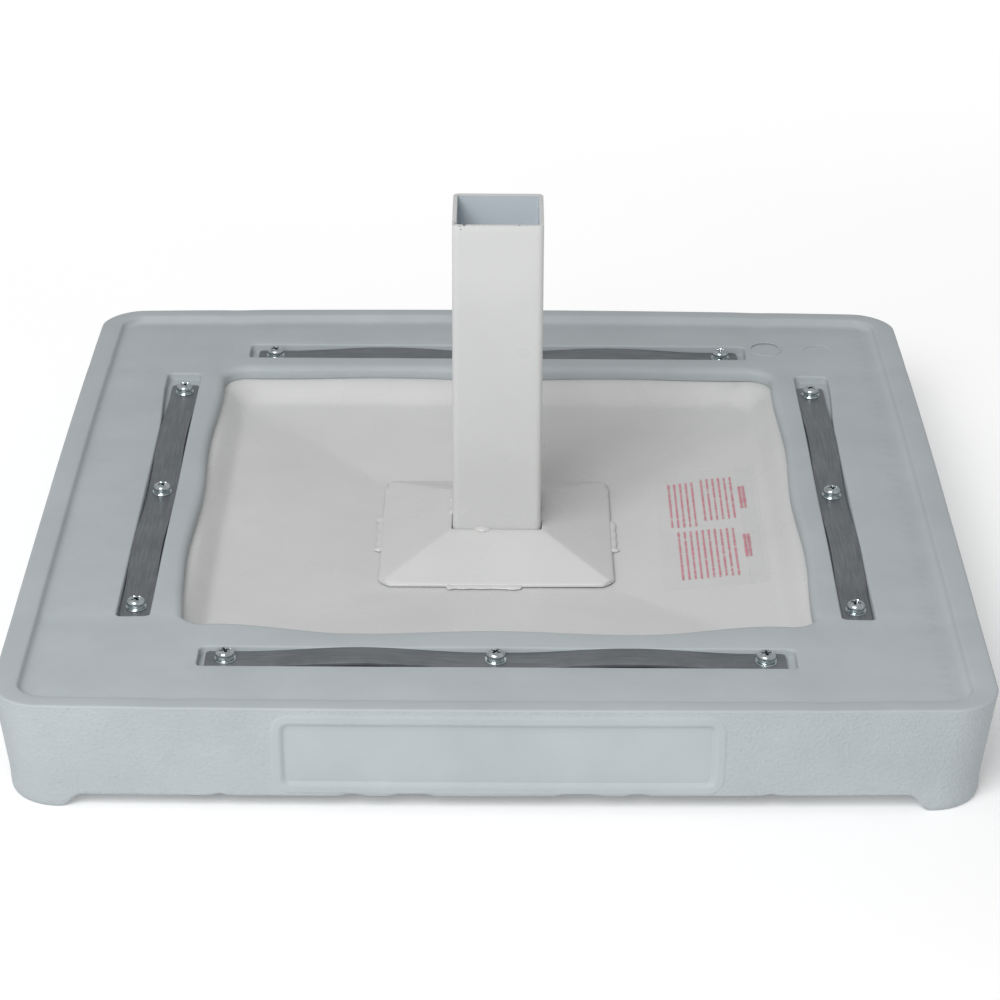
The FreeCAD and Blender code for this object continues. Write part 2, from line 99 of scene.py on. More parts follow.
def linear(shade: str) -> tuple[float, float, float, float]:
    """Turn an sRGB hex colour into linear RGBA.

    Args:
        shade: colour as "#rrggbb".

    Returns:
        Linear red, green and blue, with alpha 1.
    """
    parts = [int(shade[place:place + 2], 16) / 255 for place in (1, 3, 5)]
    red, green, blue = (c / 12.92 if c <= 0.04045 else ((c + 0.055) / 1.055) ** 2.4 for c in parts)
    return red, green, blue, 1.0


def per_metre(size: float) -> float:
    """Texture scale whose features are `size` millimetres apart."""
    return 1.0 / (size * MM)


def smooth(share: np.ndarray) -> np.ndarray:
    """Ease from 0 to 1 as the share goes from 0 to 1."""
    share = np.clip(share, 0.0, 1.0)
    return share * share * (3.0 - 2.0 * share)


def centre_of(node: str) -> Vector:
    """Middle of a CAD node's box, in millimetres."""
    low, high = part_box(node)
    return (low + high) / 2 / MM


def strip_place(side: Side) -> float:
    """Distance of a side's strip from the post's axis; the rear one lies further out."""
    middle = centre_of(f"clamp_strip_{side.label}")
    return max(abs(middle.x), abs(middle.y)) + (REAR_STRIP_OUT if side is Side.REAR else 0.0)


def turned(points: np.ndarray, quarters: int) -> np.ndarray:
    """Turn points about +Z by quarter turns.

    Args:
        points: array of (x, y) or (x, y, z).
        quarters: number of counter-clockwise quarter turns.

    Returns:
        A new array of the same shape.
    """
    result = np.array(points, float)
    for _ in range(quarters % 4):
        result[:, 0], result[:, 1] = -result[:, 1].copy(), result[:, 0].copy()
    return result


def raised(points: np.ndarray, height: float | np.ndarray) -> np.ndarray:
    """Give flat points a height."""
    return np.c_[points[:, :2], np.broadcast_to(height, len(points))]


def rounded_loop(centre_x: float, centre_y: float, corner: float, front: np.ndarray,
                 side: np.ndarray, steps: int = 12) -> np.ndarray:
    """Lay points round a rounded rectangle, counter-clockwise from the front's left end.

    Args:
        centre_x: x of the corner circles' middles.
        centre_y: y of the corner circles' middles.
        corner: radius of the corners.
        front: places along the front and rear sides.
        side: places along the left and right sides.
        steps: pieces in each corner arc.

    Returns:
        Array of (x, y).
    """
    arc = np.radians(np.linspace(0, 90, steps + 1))
    parts = []
    for quarter in range(4):
        along, out = (centre_x, centre_y) if quarter % 2 == 0 else (centre_y, centre_x)
        line = front if quarter % 2 == 0 else side
        straight = np.c_[line, np.full(len(line), -(out + corner))]
        bend = np.c_[along + corner * np.sin(arc), -out - corner * np.cos(arc)]
        parts.append(turned(np.vstack([straight, bend]), quarter))
    return np.vstack(parts)


def stretched_loop(reach_x: float, reach_y: float, corner: float, count: int = 22,
                   steps: int = 8) -> np.ndarray:
    """Lay evenly shared points round a rounded rectangle given by its half sizes."""
    share = np.linspace(-1, 1, count + 1)[:-1]
    centre_x, centre_y = reach_x - corner, reach_y - corner
    return rounded_loop(centre_x, centre_y, corner, share * centre_x, share * centre_y, steps)


def inside(points: np.ndarray, outline: np.ndarray) -> np.ndarray:
    """Tell which points lie inside a closed outline."""
    x, y = points[:, 0][:, None], points[:, 1][:, None]
    start, end = outline, np.roll(outline, -1, axis=0)
    crosses = (start[:, 1] > y) != (end[:, 1] > y)
    rise = np.where(end[:, 1] == start[:, 1], 1e-9, end[:, 1] - start[:, 1])
    meets = start[:, 0] + (y - start[:, 1]) / rise * (end[:, 0] - start[:, 0])
    return (crosses & (x < meets)).sum(axis=1) % 2 == 1


class Shell:
    """Points and faces of one closed piece, in millimetres."""

    def __init__(self) -> None:
        """Start with no points."""
        self.blocks: list[np.ndarray] = []
        self.count = 0
        self.faces: list[tuple[int, ...]] = []
        self.finishes: list[int] = []

    def add(self, points: np.ndarray) -> np.ndarray:
        """Store (x, y, z) points.

        Args:
            points: array of points.

        Returns:
            The points' numbers.
        """
        points = np.asarray(points, float).reshape(-1, 3)
        self.blocks.append(points)
        self.count += len(points)
        return np.arange(self.count - len(points), self.count)

    def places(self) -> np.ndarray:
        """Return every point as one array."""
        return np.vstack(self.blocks)

    def face(self, numbers: np.ndarray, finish: int = 0) -> None:
        """Add one face."""
        self.faces.append(tuple(int(number) for number in numbers))
        self.finishes.append(finish)

    def bridge(self, start: np.ndarray, end: np.ndarray, finish: int | np.ndarray = 0) -> None:
        """Join two closed rows of equal length by quads.

        Args:
            start: numbers of the first row; seen from outside, the second lies to its left.
            end: numbers of the second row.
            finish: finish of the quads, as one number or one for each.
        """
        size = len(start)
        finishes = np.broadcast_to(finish, size)
        for place in range(size):
            following = (place + 1) % size
            self.face((start[place], start[following], end[following], end[place]),
                      int(finishes[place]))

    def rings(self, rows: list[np.ndarray]) -> list[np.ndarray]:
        """Store closed rows of points and join each to the next.

        Args:
            rows: arrays of points, all of one length.

        Returns:
            The rows' numbers.
        """
        numbers = [self.add(row) for row in rows]
        for start, end in zip(numbers, numbers[1:]):
            self.bridge(start, end)
        return numbers

    def fill(self, outer: np.ndarray, holes: list[np.ndarray], inner: np.ndarray | None = None,
             upward: bool = True) -> None:
        """Close a flat region with triangles.

        Args:
            outer: numbers of the outer row.
            holes: numbers of the rows round openings.
            inner: extra (x, y, z) points inside the region.
            upward: whether the faces look up.
        """
        loops = [outer, *holes]
        numbers = np.concatenate([*loops, self.add(inner)] if inner is not None else loops)
        flat = self.places()[numbers][:, :2]
        edges, start = [], 0
        for loop in loops:
            edges += [(start + k, start + (k + 1) % len(loop)) for k in range(len(loop))]
            start += len(loop)
        _, _, triangles, origins, _, _ = delaunay_2d_cdt(
            [Vector(place) for place in flat], edges, [], 0, 1e-6)
        triangles = np.array([[origins[corner][0] for corner in three] for three in triangles])
        middles = flat[triangles].mean(axis=1)
        place = self.places()
        keep = inside(middles, place[outer][:, :2])
        for hole in holes:
            keep &= ~inside(middles, place[hole][:, :2])
        for three in triangles[keep]:
            a, b, c = flat[three]
            area = (b[0] - a[0]) * (c[1] - a[1]) - (b[1] - a[1]) * (c[0] - a[0])
            if abs(area) > 1e-9:
                self.face(numbers[three if (area > 0) == upward else three[::-1]])

    def make(self, name: str, materials: list[bpy.types.Material],
             replaces: tuple[str, ...] = (), places: np.ndarray | None = None) -> bpy.types.Object:
        """Turn the shell into a piece of the object.

        Args:
            name: name of the piece.
            materials: materials, in the order of the finishes.
            replaces: CAD nodes that the piece stands for.
            places: moved points, or None for the stored ones.

        Returns:
            The new object.
        """
        mesh = bpy.data.meshes.new(name)
        points = (self.places() if places is None else places) * MM
        mesh.from_pydata(points.tolist(), [], self.faces)
        for material in materials:
            mesh.materials.append(material)
        mesh.polygons.foreach_set("material_index", self.finishes)
        mesh.polygons.foreach_set("use_smooth", [True] * len(self.faces))
        mesh.set_sharp_from_angle(angle=math.radians(SHARP_ANGLE))
        mesh.update()
        return place_piece(bpy.data.objects.new(name, mesh), replaces)


def place_piece(piece: bpy.types.Object,
                replaces: tuple[str, ...] = ()) -> bpy.types.Object:
    """Link a piece, let it ride on the body and hide the nodes it stands for."""
    if piece.name not in bpy.context.scene.collection.objects:
        bpy.context.scene.collection.objects.link(piece)
    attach(piece, BODY)
    if replaces:
        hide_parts(*replaces)
    LOG.info("%s: %d faces", piece.name, len(piece.data.polygons))
    return piece


def add_node(tree: bpy.types.NodeTree, kind: str, values: dict | None = None,
             **settings: object) -> bpy.types.Node:
    """Add a node with its settings and inputs.

    Args:
        tree: the node tree.
        kind: the node's type.
        values: for each input's name or number, a plain value or a socket to link.
        settings: properties of the node.

    Returns:
        The new node.
    """
    item = tree.nodes.new(kind)
    for key, value in settings.items():
        setattr(item, key, value)
    for key, value in (values or {}).items():
        if isinstance(value, bpy.types.NodeSocket):
            tree.links.new(value, item.inputs[key])
        else:
            item.inputs[key].default_value = value
    return item


# ---------------------------------------------------------------- finishes


class Brush:
    """Node tree of one material: a principled shader, driven by object coordinates."""

    def __init__(self, name: str, **values: object) -> None:
        """Make the material with its shader.

        Args:
            name: the material's name.
            values: shader inputs, with underscores for spaces.
        """
        self.material = bpy.data.materials.new(name)
        self.material.use_nodes = True
        self.tree = self.material.node_tree
        self.tree.nodes.clear()
        inputs = {key.replace("_", " "): value for key, value in values.items()}
        self.shader = self.add("ShaderNodeBsdfPrincipled", inputs)
        self.add("ShaderNodeOutputMaterial", {"Surface": self.shader.outputs["BSDF"]})
        self.coords = self.add("ShaderNodeTexCoord").outputs["Object"]

    def add(self, kind: str, values: dict | None = None, **settings: object) -> bpy.types.Node:
        """Add a node to this tree."""
        return add_node(self.tree, kind, values, **settings)

    def blend(self, share: bpy.types.NodeSocket, low: str, high: str) -> bpy.types.NodeSocket:
        """Blend two sRGB colours by a share.

        Args:
            share: 0 for the first colour, 1 for the second.
            low: first colour.
            high: second colour.

        Returns:
            The blended colour.
        """
        ramp = self.add("ShaderNodeValToRGB", {"Fac": share})
        for element, shade in zip(ramp.color_ramp.elements, (low, high)):
            element.color = linear(shade)
        return ramp.outputs["Color"]

    def spread(self, share: bpy.types.NodeSocket, low: float, high: float,
               start: float = 0.3, end: float = 0.7) -> bpy.types.NodeSocket:
        """Map a share of `start` to `end` onto a range."""
        return self.add("ShaderNodeMapRange", {
            "Value": share, "From Min": start, "From Max": end, "To Min": low, "To Max": high,
        }).outputs["Result"]

    def noise(self, size: float, detail: float = 2.0, rough: float = 0.5,
              coords: bpy.types.NodeSocket | None = None) -> bpy.types.NodeSocket:
        """Return cloudy noise whose features are `size` millimetres wide."""
        return self.add("ShaderNodeTexNoise", {
            "Vector": coords or self.coords, "Scale": per_metre(size), "Detail": detail,
            "Roughness": rough}).outputs["Fac"]

    def bump(self, height: bpy.types.NodeSocket, depth: float,
             below: bpy.types.NodeSocket | None = None) -> bpy.types.NodeSocket:
        """Raise the surface.

        Args:
            height: share of the depth.
            depth: greatest rise, in millimetres.
            below: bump that this one lies on.

        Returns:
            The bumped normal.
        """
        values = {"Height": height, "Distance": depth * MM, "Strength": 1.0}
        if below is not None:
            values["Normal"] = below
        return self.add("ShaderNodeBump", values).outputs["Normal"]

    def wire(self, **sockets: bpy.types.NodeSocket) -> bpy.types.Material:
        """Link the shader's inputs and finish the material.

        Args:
            sockets: sockets for the inputs, named with underscores for spaces.

        Returns:
            The material.
        """
        for key, socket in sockets.items():
            self.tree.links.new(socket, self.shader.inputs[key.replace("_", " ")])
        return self.material


@dataclass(frozen=True)
class Finish:
    """What every finish has: a name, and a material that its own class paints."""

    name: str

    def material(self) -> bpy.types.Material:
        """Build the node tree and return the material."""
        raise NotImplementedError


@dataclass(frozen=True)
class MouldedElastomer(Finish):
    """Grey elastomer, cast in a mould: matt, faintly cloudy, with rubbed darker patches."""

    light: str
    dark: str
    grain: float
    relief: float
    roughness: float = 0.62

    def material(self) -> bpy.types.Material:
        """Build the node tree.

        Returns:
            The material.
        """
        brush = Brush(self.name, IOR=1.5, Specular_IOR_Level=0.35)
        clouds = brush.noise(55.0, 4.0, 0.6)
        colour = brush.blend(brush.spread(clouds, 0.0, 1.0), self.dark, self.light)
        rubbed = brush.noise(14.0, 5.0, 0.65)
        sheen = brush.spread(rubbed, self.roughness - 0.1, self.roughness + 0.08)
        # The mould's own skin: long shallow swells under the grain.
        swells = brush.bump(brush.noise(24.0, 2.0), 0.25)
        cells = brush.add("ShaderNodeTexVoronoi", {
            "Vector": brush.coords, "Scale": per_metre(self.grain), "Randomness": 1.0,
        }, feature="SMOOTH_F1").outputs["Distance"]
        grain = brush.bump(cells, self.relief, swells)
        return brush.wire(Base_Color=colour, Roughness=sheen, Normal=grain)


@dataclass(frozen=True)
class PowderCoat(Finish):
    """White polyester powder, sprayed and baked: satin, with a faint orange-peel skin."""

    light: str = "#d3d4d3"
    dark: str = "#cdcecd"
    chip: str = "#6d6f74"
    chip_height: float = 0.0
    # How far down from the top the chips reach, and how far out from the front left corner, where
    # they are thickest.
    chip_band: float = 14.0
    chip_reach: tuple[float, float] = (8.0, 30.0)

    def material(self) -> bpy.types.Material:
        """Build the node tree; above `chip_height`, the coat is chipped to bare steel in specks.

        Returns:
            The material.
        """
        brush = Brush(self.name, IOR=1.5, Specular_IOR_Level=0.4)
        drift = brush.noise(70.0, 2.0)
        colour = brush.blend(brush.spread(drift, 0.0, 1.0), self.dark, self.light)
        sheen = brush.spread(brush.noise(45.0, 1.0), 0.26, 0.31)
        peel = brush.bump(brush.noise(2.2, 1.0), 0.007)
        skin = brush.bump(brush.noise(18.0, 2.0), 0.05, peel)
        if self.chip_height:
            height = brush.add("ShaderNodeSeparateXYZ", {"Vector": brush.coords}).outputs["Z"]
            near_top = brush.spread(height, -0.4, 0.0, (self.chip_height - self.chip_band) * MM,
                                    self.chip_height * MM)
            edge = Vector((-30.0, -30.0, self.chip_height)) * MM
            away = brush.add("ShaderNodeVectorMath", {0: brush.coords, 1: edge},
                             operation="DISTANCE").outputs["Value"]
            near_edge = brush.spread(away, 0.0, -0.11, *(reach * MM for reach in self.chip_reach))
            near = brush.add("ShaderNodeMath", {0: near_edge, 1: near_top}, operation="ADD")
            specks = brush.noise(2.8, 3.0, 0.7)
            total = brush.add("ShaderNodeMath", {0: specks, 1: near.outputs["Value"]},
                              operation="ADD")
            chipped = brush.spread(total.outputs["Value"], 0.0, 1.0, 0.55, 0.6)
            colour = brush.add("ShaderNodeMix", {
                "Factor": chipped, "A": colour, "B": linear(self.chip),
            }, data_type="RGBA").outputs["Result"]
        return brush.wire(Base_Color=colour, Roughness=sheen, Normal=skin)


@dataclass(frozen=True)
class RolledSteel(Finish):
    """Bare cold-rolled strip: dull grey with fine lines along its length and dark stains."""

    along: int
    light: str = "#979b9e"
    dark: str = "#7a7f82"

    def material(self) -> bpy.types.Material:
        """Build the node tree.

        Returns:
            The material.
        """
        brush = Brush(self.name, Metallic=0.85)
        stretch = [1.0, 1.0, 1.0]
        stretch[self.along] = 0.04
        lines = brush.add("ShaderNodeMapping", {"Vector": brush.coords, "Scale": stretch})
        streaks = brush.noise(1.4, 3.0, 0.6, lines.outputs["Vector"])
        stains = brush.noise(34.0, 5.0, 0.65)
        both = brush.add("ShaderNodeMath", {0: streaks, 1: stains},
                         operation="ADD").outputs["Value"]
        share = brush.spread(both, 0.0, 1.0, 0.7, 1.3)
        return brush.wire(Base_Color=brush.blend(share, self.dark, self.light),
                          Roughness=brush.spread(stains, 0.38, 0.58),
                          Normal=brush.bump(streaks, 0.01))


@dataclass(frozen=True)
class ZincPlate(Finish):
    """Bright zinc plate, passivated blue: mirror-like with cool tints and hard glints."""

    light: str = "#e2e8ea"
    dark: str = "#b3c0c3"

    def material(self) -> bpy.types.Material:
        """Build the node tree.

        Returns:
            The material.
        """
        brush = Brush(self.name, Metallic=1.0)
        tint = brush.noise(3.0, 2.0)
        colour = brush.blend(brush.spread(tint, 0.0, 1.0), self.dark, self.light)
        scratch = brush.bump(brush.noise(0.8, 2.0), 0.03)
        return brush.wire(Base_Color=colour, Normal=scratch,
                          Roughness=brush.spread(tint, 0.12, 0.26))


@dataclass(frozen=True)
class ClearFilm(Finish):
    """Clear polyester label film: glossy, nearly invisible, with a faint cool tint."""

    shade: str = "#dfe2e2"

    def material(self) -> bpy.types.Material:
        """Build the node tree.

        Returns:
            The material.
        """
        brush = Brush(self.name, IOR=1.5, Base_Color=linear(self.shade), Alpha=0.05)
        lifted = brush.noise(26.0, 2.0)
        return brush.wire(Roughness=brush.spread(lifted, 0.12, 0.22),
                          Normal=brush.bump(lifted, 0.1))


@dataclass(frozen=True)
class PrintedInk(Finish):
    """Red ink printed on film: flat colour broken by uneven ink."""

    light: str = "#dc9ca6"
    dark: str = "#cc8491"

    def material(self) -> bpy.types.Material:
        """Build the node tree.

        Returns:
            The material.
        """
        brush = Brush(self.name, Roughness=0.4, IOR=1.5)
        cover = brush.noise(2.5, 3.0, 0.7)
        colour = brush.blend(brush.spread(cover, 0.0, 1.0), self.dark, self.light)
        return brush.wire(Base_Color=colour)


@dataclass(frozen=True)
class StudioFloor(Finish):
    """Matt white paper sweep: plain and pale, it shows only a soft contact shadow."""

    shade: str = "#f6f6f6"
    light: str = "#f8f8f8"
    dark: str = "#f4f4f4"
    glow_near: float = 0.16
    glow_far: float = 0.72
    # Where the glow starts and ends, in metres behind the post.
    glow_reach: tuple[float, float] = (-0.3, 2.2)

    def material(self) -> bpy.types.Material:
        """Build the node tree.

        Returns:
            The material.
        """
        brush = Brush(
            self.name, Roughness=0.9, Specular_IOR_Level=0.0, Emission_Color=linear(self.shade))
        # The sweep behind the object is lit from below, so it stays white to the horizon.
        depth = brush.add("ShaderNodeSeparateXYZ", {"Vector": brush.coords}).outputs["Y"]
        glow = brush.spread(depth, self.glow_near, self.glow_far, *self.glow_reach)
        fibre = brush.noise(400.0, 1.0)
        colour = brush.blend(fibre, self.dark, self.light)
        return brush.wire(Base_Color=colour, Emission_Strength=glow)


def made(finish: Finish) -> bpy.types.Material:
    """Default of a field that holds a finish's material, made when the table is."""
    return field(default_factory=finish.material)


@dataclass
class Finishes:
    """The materials of the object, each made once."""

    skin: bpy.types.Material = made(MouldedElastomer(
        "moulded_elastomer_smooth", "#b4bbbe", "#adb4b7", 1.6, 0.02))
    pebbled: bpy.types.Material = made(MouldedElastomer(
        "moulded_elastomer_pebbled", "#b4bbbe", "#acb3b6", 1.7, 0.5, 0.7))
    coat: bpy.types.Material = made(PowderCoat("powder_coat_white"))
    post_coat: bpy.types.Material = made(PowderCoat("powder_coat_chipped", chip_height=POST_TOP))
    # Inside the tube: a cooler tint, and darker than the outside as painted shade in the bore.
    bore: bpy.types.Material = made(PowderCoat("thin_overspray_on_steel", "#cfd7dd", "#c0c9d0"))
    strip_x: bpy.types.Material = made(RolledSteel("rolled_steel_lengthwise", 0))
    strip_y: bpy.types.Material = made(RolledSteel("rolled_steel_crosswise", 1))
    zinc: bpy.types.Material = made(ZincPlate("zinc_plate_bright"))
    # Darker copy of the zinc for the cross recess: painted shade in the recess.
    recess: bpy.types.Material = made(ZincPlate("zinc_plate_in_recess", "#70787b", "#4c5356"))
    film: bpy.types.Material = made(ClearFilm("clear_polyester_film"))
    ink: bpy.types.Material = made(PrintedInk("red_printed_ink"))


# ---------------------------------------------------------------- moulded surround


@dataclass
class MouldedSurround:
    """Ring of grey elastomer: tapered skirt, rim, grooved lip, panel and corner feet."""

    finishes: Finishes
    reach_x: float = 305.0
    reach_y: float = 310.0
    top: float = 75.0
    corner: float = 30.0
    taper: float = 7.0
    skirt_bottom: float = 10.0
    skirt_slant: float = 1.5
    lip_top: float = 71.0
    lip_under: float = 61.0
    opening_x: float = 203.0
    opening_y: float = 207.0
    opening_corner: float = 18.0
    cavity_inset: float = 21.0
    cavity_corner: float = 120.0
    groove_half: float = 187.0
    # How far the left and right channels run on at each end, and how much narrower they are.
    groove_extra: float = 9.0
    groove_tight: float = 3.4
    groove_breadth: float = 13.25
    groove_corner: float = 5.0
    groove_floor: float = 65.0
    screw_pitch: float = SCREW_PITCH
    panel_half: float = 131.9
    panel_rise: float = 23.4
    panel_middle: float = 41.0
    panel_corner: float = 6.0
    panel_shift: float = 2.0
    sole_x: float = 252.0
    sole_y: float = 257.0
    sole_step: float = 13.0
    edge_round: float = 2.3
    # Inward bow of each side at its two ends: left and right sides, then front and rear.
    side_bows: tuple[float, float] = (0.3, 3.5)
    end_bows: tuple[float, float] = (3.5, 6.5)
    # How far the lip creeps into the opening: all along the front, more at its corners, and at
    # the left side's front end. Then its waves between the screws, and the land's extra width.
    front_creep: float = 6.2
    corner_creep: float = 8.0
    left_creep: float = 3.5
    lip_wave: float = 1.5
    land_extra: float = 3.0
    notch_rise: float = 1.7
    # Depth of the panel's face and rise of the bead round it.
    panel_depth: float = 1.8
    panel_bead: float = 0.6

    def build(self) -> bpy.types.Object:
        """Build the ring and dress it.

        Returns:
            The piece.
        """
        shell = Shell()
        wall_foot, rim_end = self.outer_band(shell)
        top_holes = [self.groove(shell, side) for side in Side]
        opening, mouth = self.opening(shell)
        shell.fill(rim_end, [*top_holes, opening], self.top_points())
        cavity_top, cavity_foot = self.cavity(shell)
        shell.fill(cavity_top, [mouth], upward=False)
        shell.fill(wall_foot, [cavity_foot], self.sole_points(), upward=False)
        return shell.make("moulded_surround",
                          [self.finishes.skin, self.finishes.pebbled], ("base_surround",),
                          self.settled(shell.places()))

    def stations(self, reach: float, with_panel: bool) -> np.ndarray:
        """Places along one side, closer together at the feet and at the panel's ends."""
        places = [np.arange(-240, 241, 6.0), np.arange(242, reach, 1.6),
                  -np.arange(242, reach, 1.6)]
        if with_panel:
            for end in (-1, 1):
                middle = self.panel_shift + self.panel_half * end
                places.append(np.arange(middle - 9, middle + 9, 0.75))
        return np.unique(np.round(np.concatenate(places), 3))

    def underside(self, x: np.ndarray, y: np.ndarray) -> np.ndarray:
        """Height of the skirt's lower edge and underside.

        Args:
            x: places across.
            y: places along.

        Returns:
            Heights: slightly slanted, with shallow drain notches, and 0 under the feet.
        """
        edge = self.skirt_bottom + self.skirt_slant * x / self.reach_x
        for middle, width in ((168, 12), (88, 14), (50, 28)):
            away = np.abs(np.abs(x) - middle) - width / 2
            edge = edge + self.notch_rise * smooth(-away / 3.0) * (np.abs(y) > self.reach_y - 40)
        foot = smooth((np.abs(x) - self.sole_x) / self.sole_step) * smooth(
            (np.abs(y) - self.sole_y) / self.sole_step)
        return edge * (1.0 - foot)

    def panel_gap(self, x: np.ndarray, z: np.ndarray) -> np.ndarray:
        """Signed distance to the panel's outline, negative inside."""
        dx = np.abs(x - self.panel_shift) - self.panel_half + self.panel_corner
        dz = np.abs(z - self.panel_middle) - self.panel_rise + self.panel_corner
        beyond = np.hypot(np.maximum(dx, 0), np.maximum(dz, 0))
        return beyond + np.minimum(np.maximum(dx, dz), 0) - self.panel_corner

    def outer_band(self, shell: Shell) -> tuple[np.ndarray, np.ndarray]:
        """Wall, rim and the drop inside the rim.

        Args:
            shell: the shell to add to.

        Returns:
            Numbers of the wall's lowest row and of the row where the top face starts.
        """
        front = self.stations(self.reach_x - self.taper - self.corner, True)
        side = self.stations(self.reach_y - self.taper - self.corner, False)
        fine_low, fine_high = np.arange(12.0, 21.7, 0.6), np.arange(60.4, 69.5, 0.6)
        plain = [24, 28, 32, 36, 40, 44, 48, 52, 56]
        heights = [*fine_low, *plain, *fine_high, 71.0, 72.5, 73.5]
        turn = np.radians([0, 30, 60])
        # Each level: inset at the rounded lower edge, height.
        levels = [(1 - math.sin(a), 10 + 2 * (1 - math.cos(a))) for a in turn]
        levels += [(0.0, height) for height in heights]
        rows, finishes = [], []
        on_front = np.zeros(4 * 13 + 2 * (len(front) + len(side)), bool)
        on_front[:len(front)] = True
        for inset, height in levels:
            lean = (self.top - height) / (self.top - self.skirt_bottom) * self.taper
            middle_x = self.reach_x - self.corner - lean
            middle_y = self.reach_y - self.corner - lean
            row = rounded_loop(middle_x, middle_y, self.corner, front, side)
            row *= 1 - (inset * self.edge_round / np.hypot(row[:, 0], row[:, 1]))[:, None]
            edge = self.underside(row[:, 0], row[:, 1])
            share = np.clip((height - 10) / 6.5, 0, 1)
            level = height if share >= 1 else edge + (16.5 - edge) * share
            gap = self.panel_gap(row[:, 0], np.broadcast_to(level, len(row)))
            border = smooth((gap + 0.9) / 1.2) * smooth((5.4 - gap) / 1.2)
            out = self.panel_bead * border - self.panel_depth * smooth((-gap - 0.8) / 2.2)
            row[:, 1] -= np.where(on_front, out, 0.0)
            rows.append(raised(row, level))
            finishes.append(np.where(on_front & (gap < 5.2), 0, 1))
        numbers = [shell.add(row) for row in rows]
        for start, end, finish in zip(numbers, numbers[1:], finishes):
            shell.bridge(start, end, finish)
        # Each step: inset from the rim's outer edge, height.
        rounding = [(1.4 * (1 - math.cos(a)), 73.6 + 1.4 * math.sin(a))
                    for a in np.radians([15, 35, 58, 78])]
        steps = [*rounding, (2.6, 75.0), (6.0, 75.0), (10.6, 74.95), (11.6, 74.7), (12.2, 74.2),
                 (12.7, 73.4), (13.2, 72.4), (13.9, 71.4), (14.9, 70.6), (16.4, 70.1),
                 (18.6, 69.95), (21.5, 70.1), (26.0, 70.6)]
        last = numbers[-1]
        for inset, height in steps:
            # The land is wider on the left and right.
            wider = self.land_extra * float(smooth((inset - 6.0) / 5.0))
            row = rounded_loop(self.reach_x - self.corner - wider, self.reach_y - self.corner,
                               self.corner - inset, front, side)
            following = shell.add(raised(row, height))
            shell.bridge(last, following)
            last = following
        return numbers[0], last

    def groove(self, shell: Shell, side: Side) -> np.ndarray:
        """Sunken channel for one clamp strip.

        Args:
            shell: the shell to add to.
            side: the side of the ring.

        Returns:
            Numbers of the channel's upper row.
        """
        line = np.arange(-180, 181, 5.0)
        short = np.linspace(-8, 8, 4)
        # The left and right channels run on at both ends and are narrower towards the front.
        longer = {Side.RIGHT: 1, Side.LEFT: -1}.get(side, 0)
        last = top = None
        # Each step: how far the row lies outside the channel's wall, height.
        floor = self.groove_floor + STRIP_LIFT[side]
        for out, height in ((0.2, self.lip_top), (-0.3, 70.9), (-0.7, 70.55), (-1.0, 70.0),
                            (-1.15, 69.2), (-1.25, floor + 0.9), (-1.5, floor)):
            row = rounded_loop(self.groove_half - self.groove_corner,
                               self.groove_breadth - self.groove_corner,
                               self.groove_corner + out, line, short, 6)
            if longer:
                rearward = row[:, 0] * longer
                row[:, 0] += longer * self.groove_extra * smooth((rearward - 165) / 20)
                row[:, 0] -= longer * self.groove_extra * smooth((-rearward - 165) / 20)
                tight = self.groove_tight * (1 - smooth((rearward - 90) / 90))
                row[:, 1] += tight * smooth((-row[:, 1] - 2) / 6)
            row[:, 1] -= GROOVE_PLACE[side]
            numbers = shell.add(raised(turned(row, side.value), height))
            if last is None:
                top = numbers
            else:
                shell.bridge(last, numbers)
            last = numbers
        shell.fill(last, [])
        return top

    def opening(self, shell: Shell) -> tuple[np.ndarray, np.ndarray]:
        """Rounded inner edge of the lip.

        Args:
            shell: the shell to add to.

        Returns:
            Numbers of the upper row and of the lower row.
        """
        front = np.arange(-182, 182.1, 4.0)
        side = np.arange(-186, 186.1, 4.0)
        rows = []
        for out, height in ((5.5, self.lip_top), (4.4, 70.9), (3.4, 70.6), (2.2, 70.05),
                            (1.2, 69.25), (0.5, 68.2), (0.1, 66.8), (0.0, 65.0), (0.0, 63.5),
                            (0.2, 61.8), (1.0, self.lip_under)):
            row = rounded_loop(self.opening_x - self.opening_corner,
                               self.opening_y - self.opening_corner,
                               self.opening_corner + out, front, side, 8)
            rows.append(raised(row, height))
        numbers = shell.rings(rows)
        return numbers[0], numbers[-1]

    def cavity(self, shell: Shell) -> tuple[np.ndarray, np.ndarray]:
        """Walls of the hollow inside the skirt.

        Args:
            shell: the shell to add to.

        Returns:
            Numbers of the upper row and of the lower row.
        """
        middle_x = self.reach_x - self.cavity_inset - self.cavity_corner
        middle_y = self.reach_y - self.cavity_inset - self.cavity_corner
        line_x, line_y = np.arange(-162, 163, 6.0), np.arange(-168, 169, 6.0)
        row = rounded_loop(middle_x, middle_y, self.cavity_corner, line_x, line_y, 28)
        low = raised(row, self.underside(row[:, 0], row[:, 1]))
        top, foot = shell.rings([raised(row, self.lip_under), low])
        return top, foot

    def top_points(self) -> np.ndarray:
        """Points that let the top face dip between its edges."""
        x, y = np.meshgrid(np.arange(-275, 276, 11.0), np.arange(-280, 281, 11.0))
        points = np.c_[x.ravel(), y.ravel()]
        px, py = np.abs(points[:, 0]), np.abs(points[:, 1])
        clear = (px > self.opening_x + 9) | (py > self.opening_y + 9)
        for along, across, middle in ((px, py, 237.0), (py, px, 232.0)):
            clear &= ~((along < self.groove_half + 16) & (np.abs(across - middle) < 19))
        return raised(points[clear], self.lip_top)

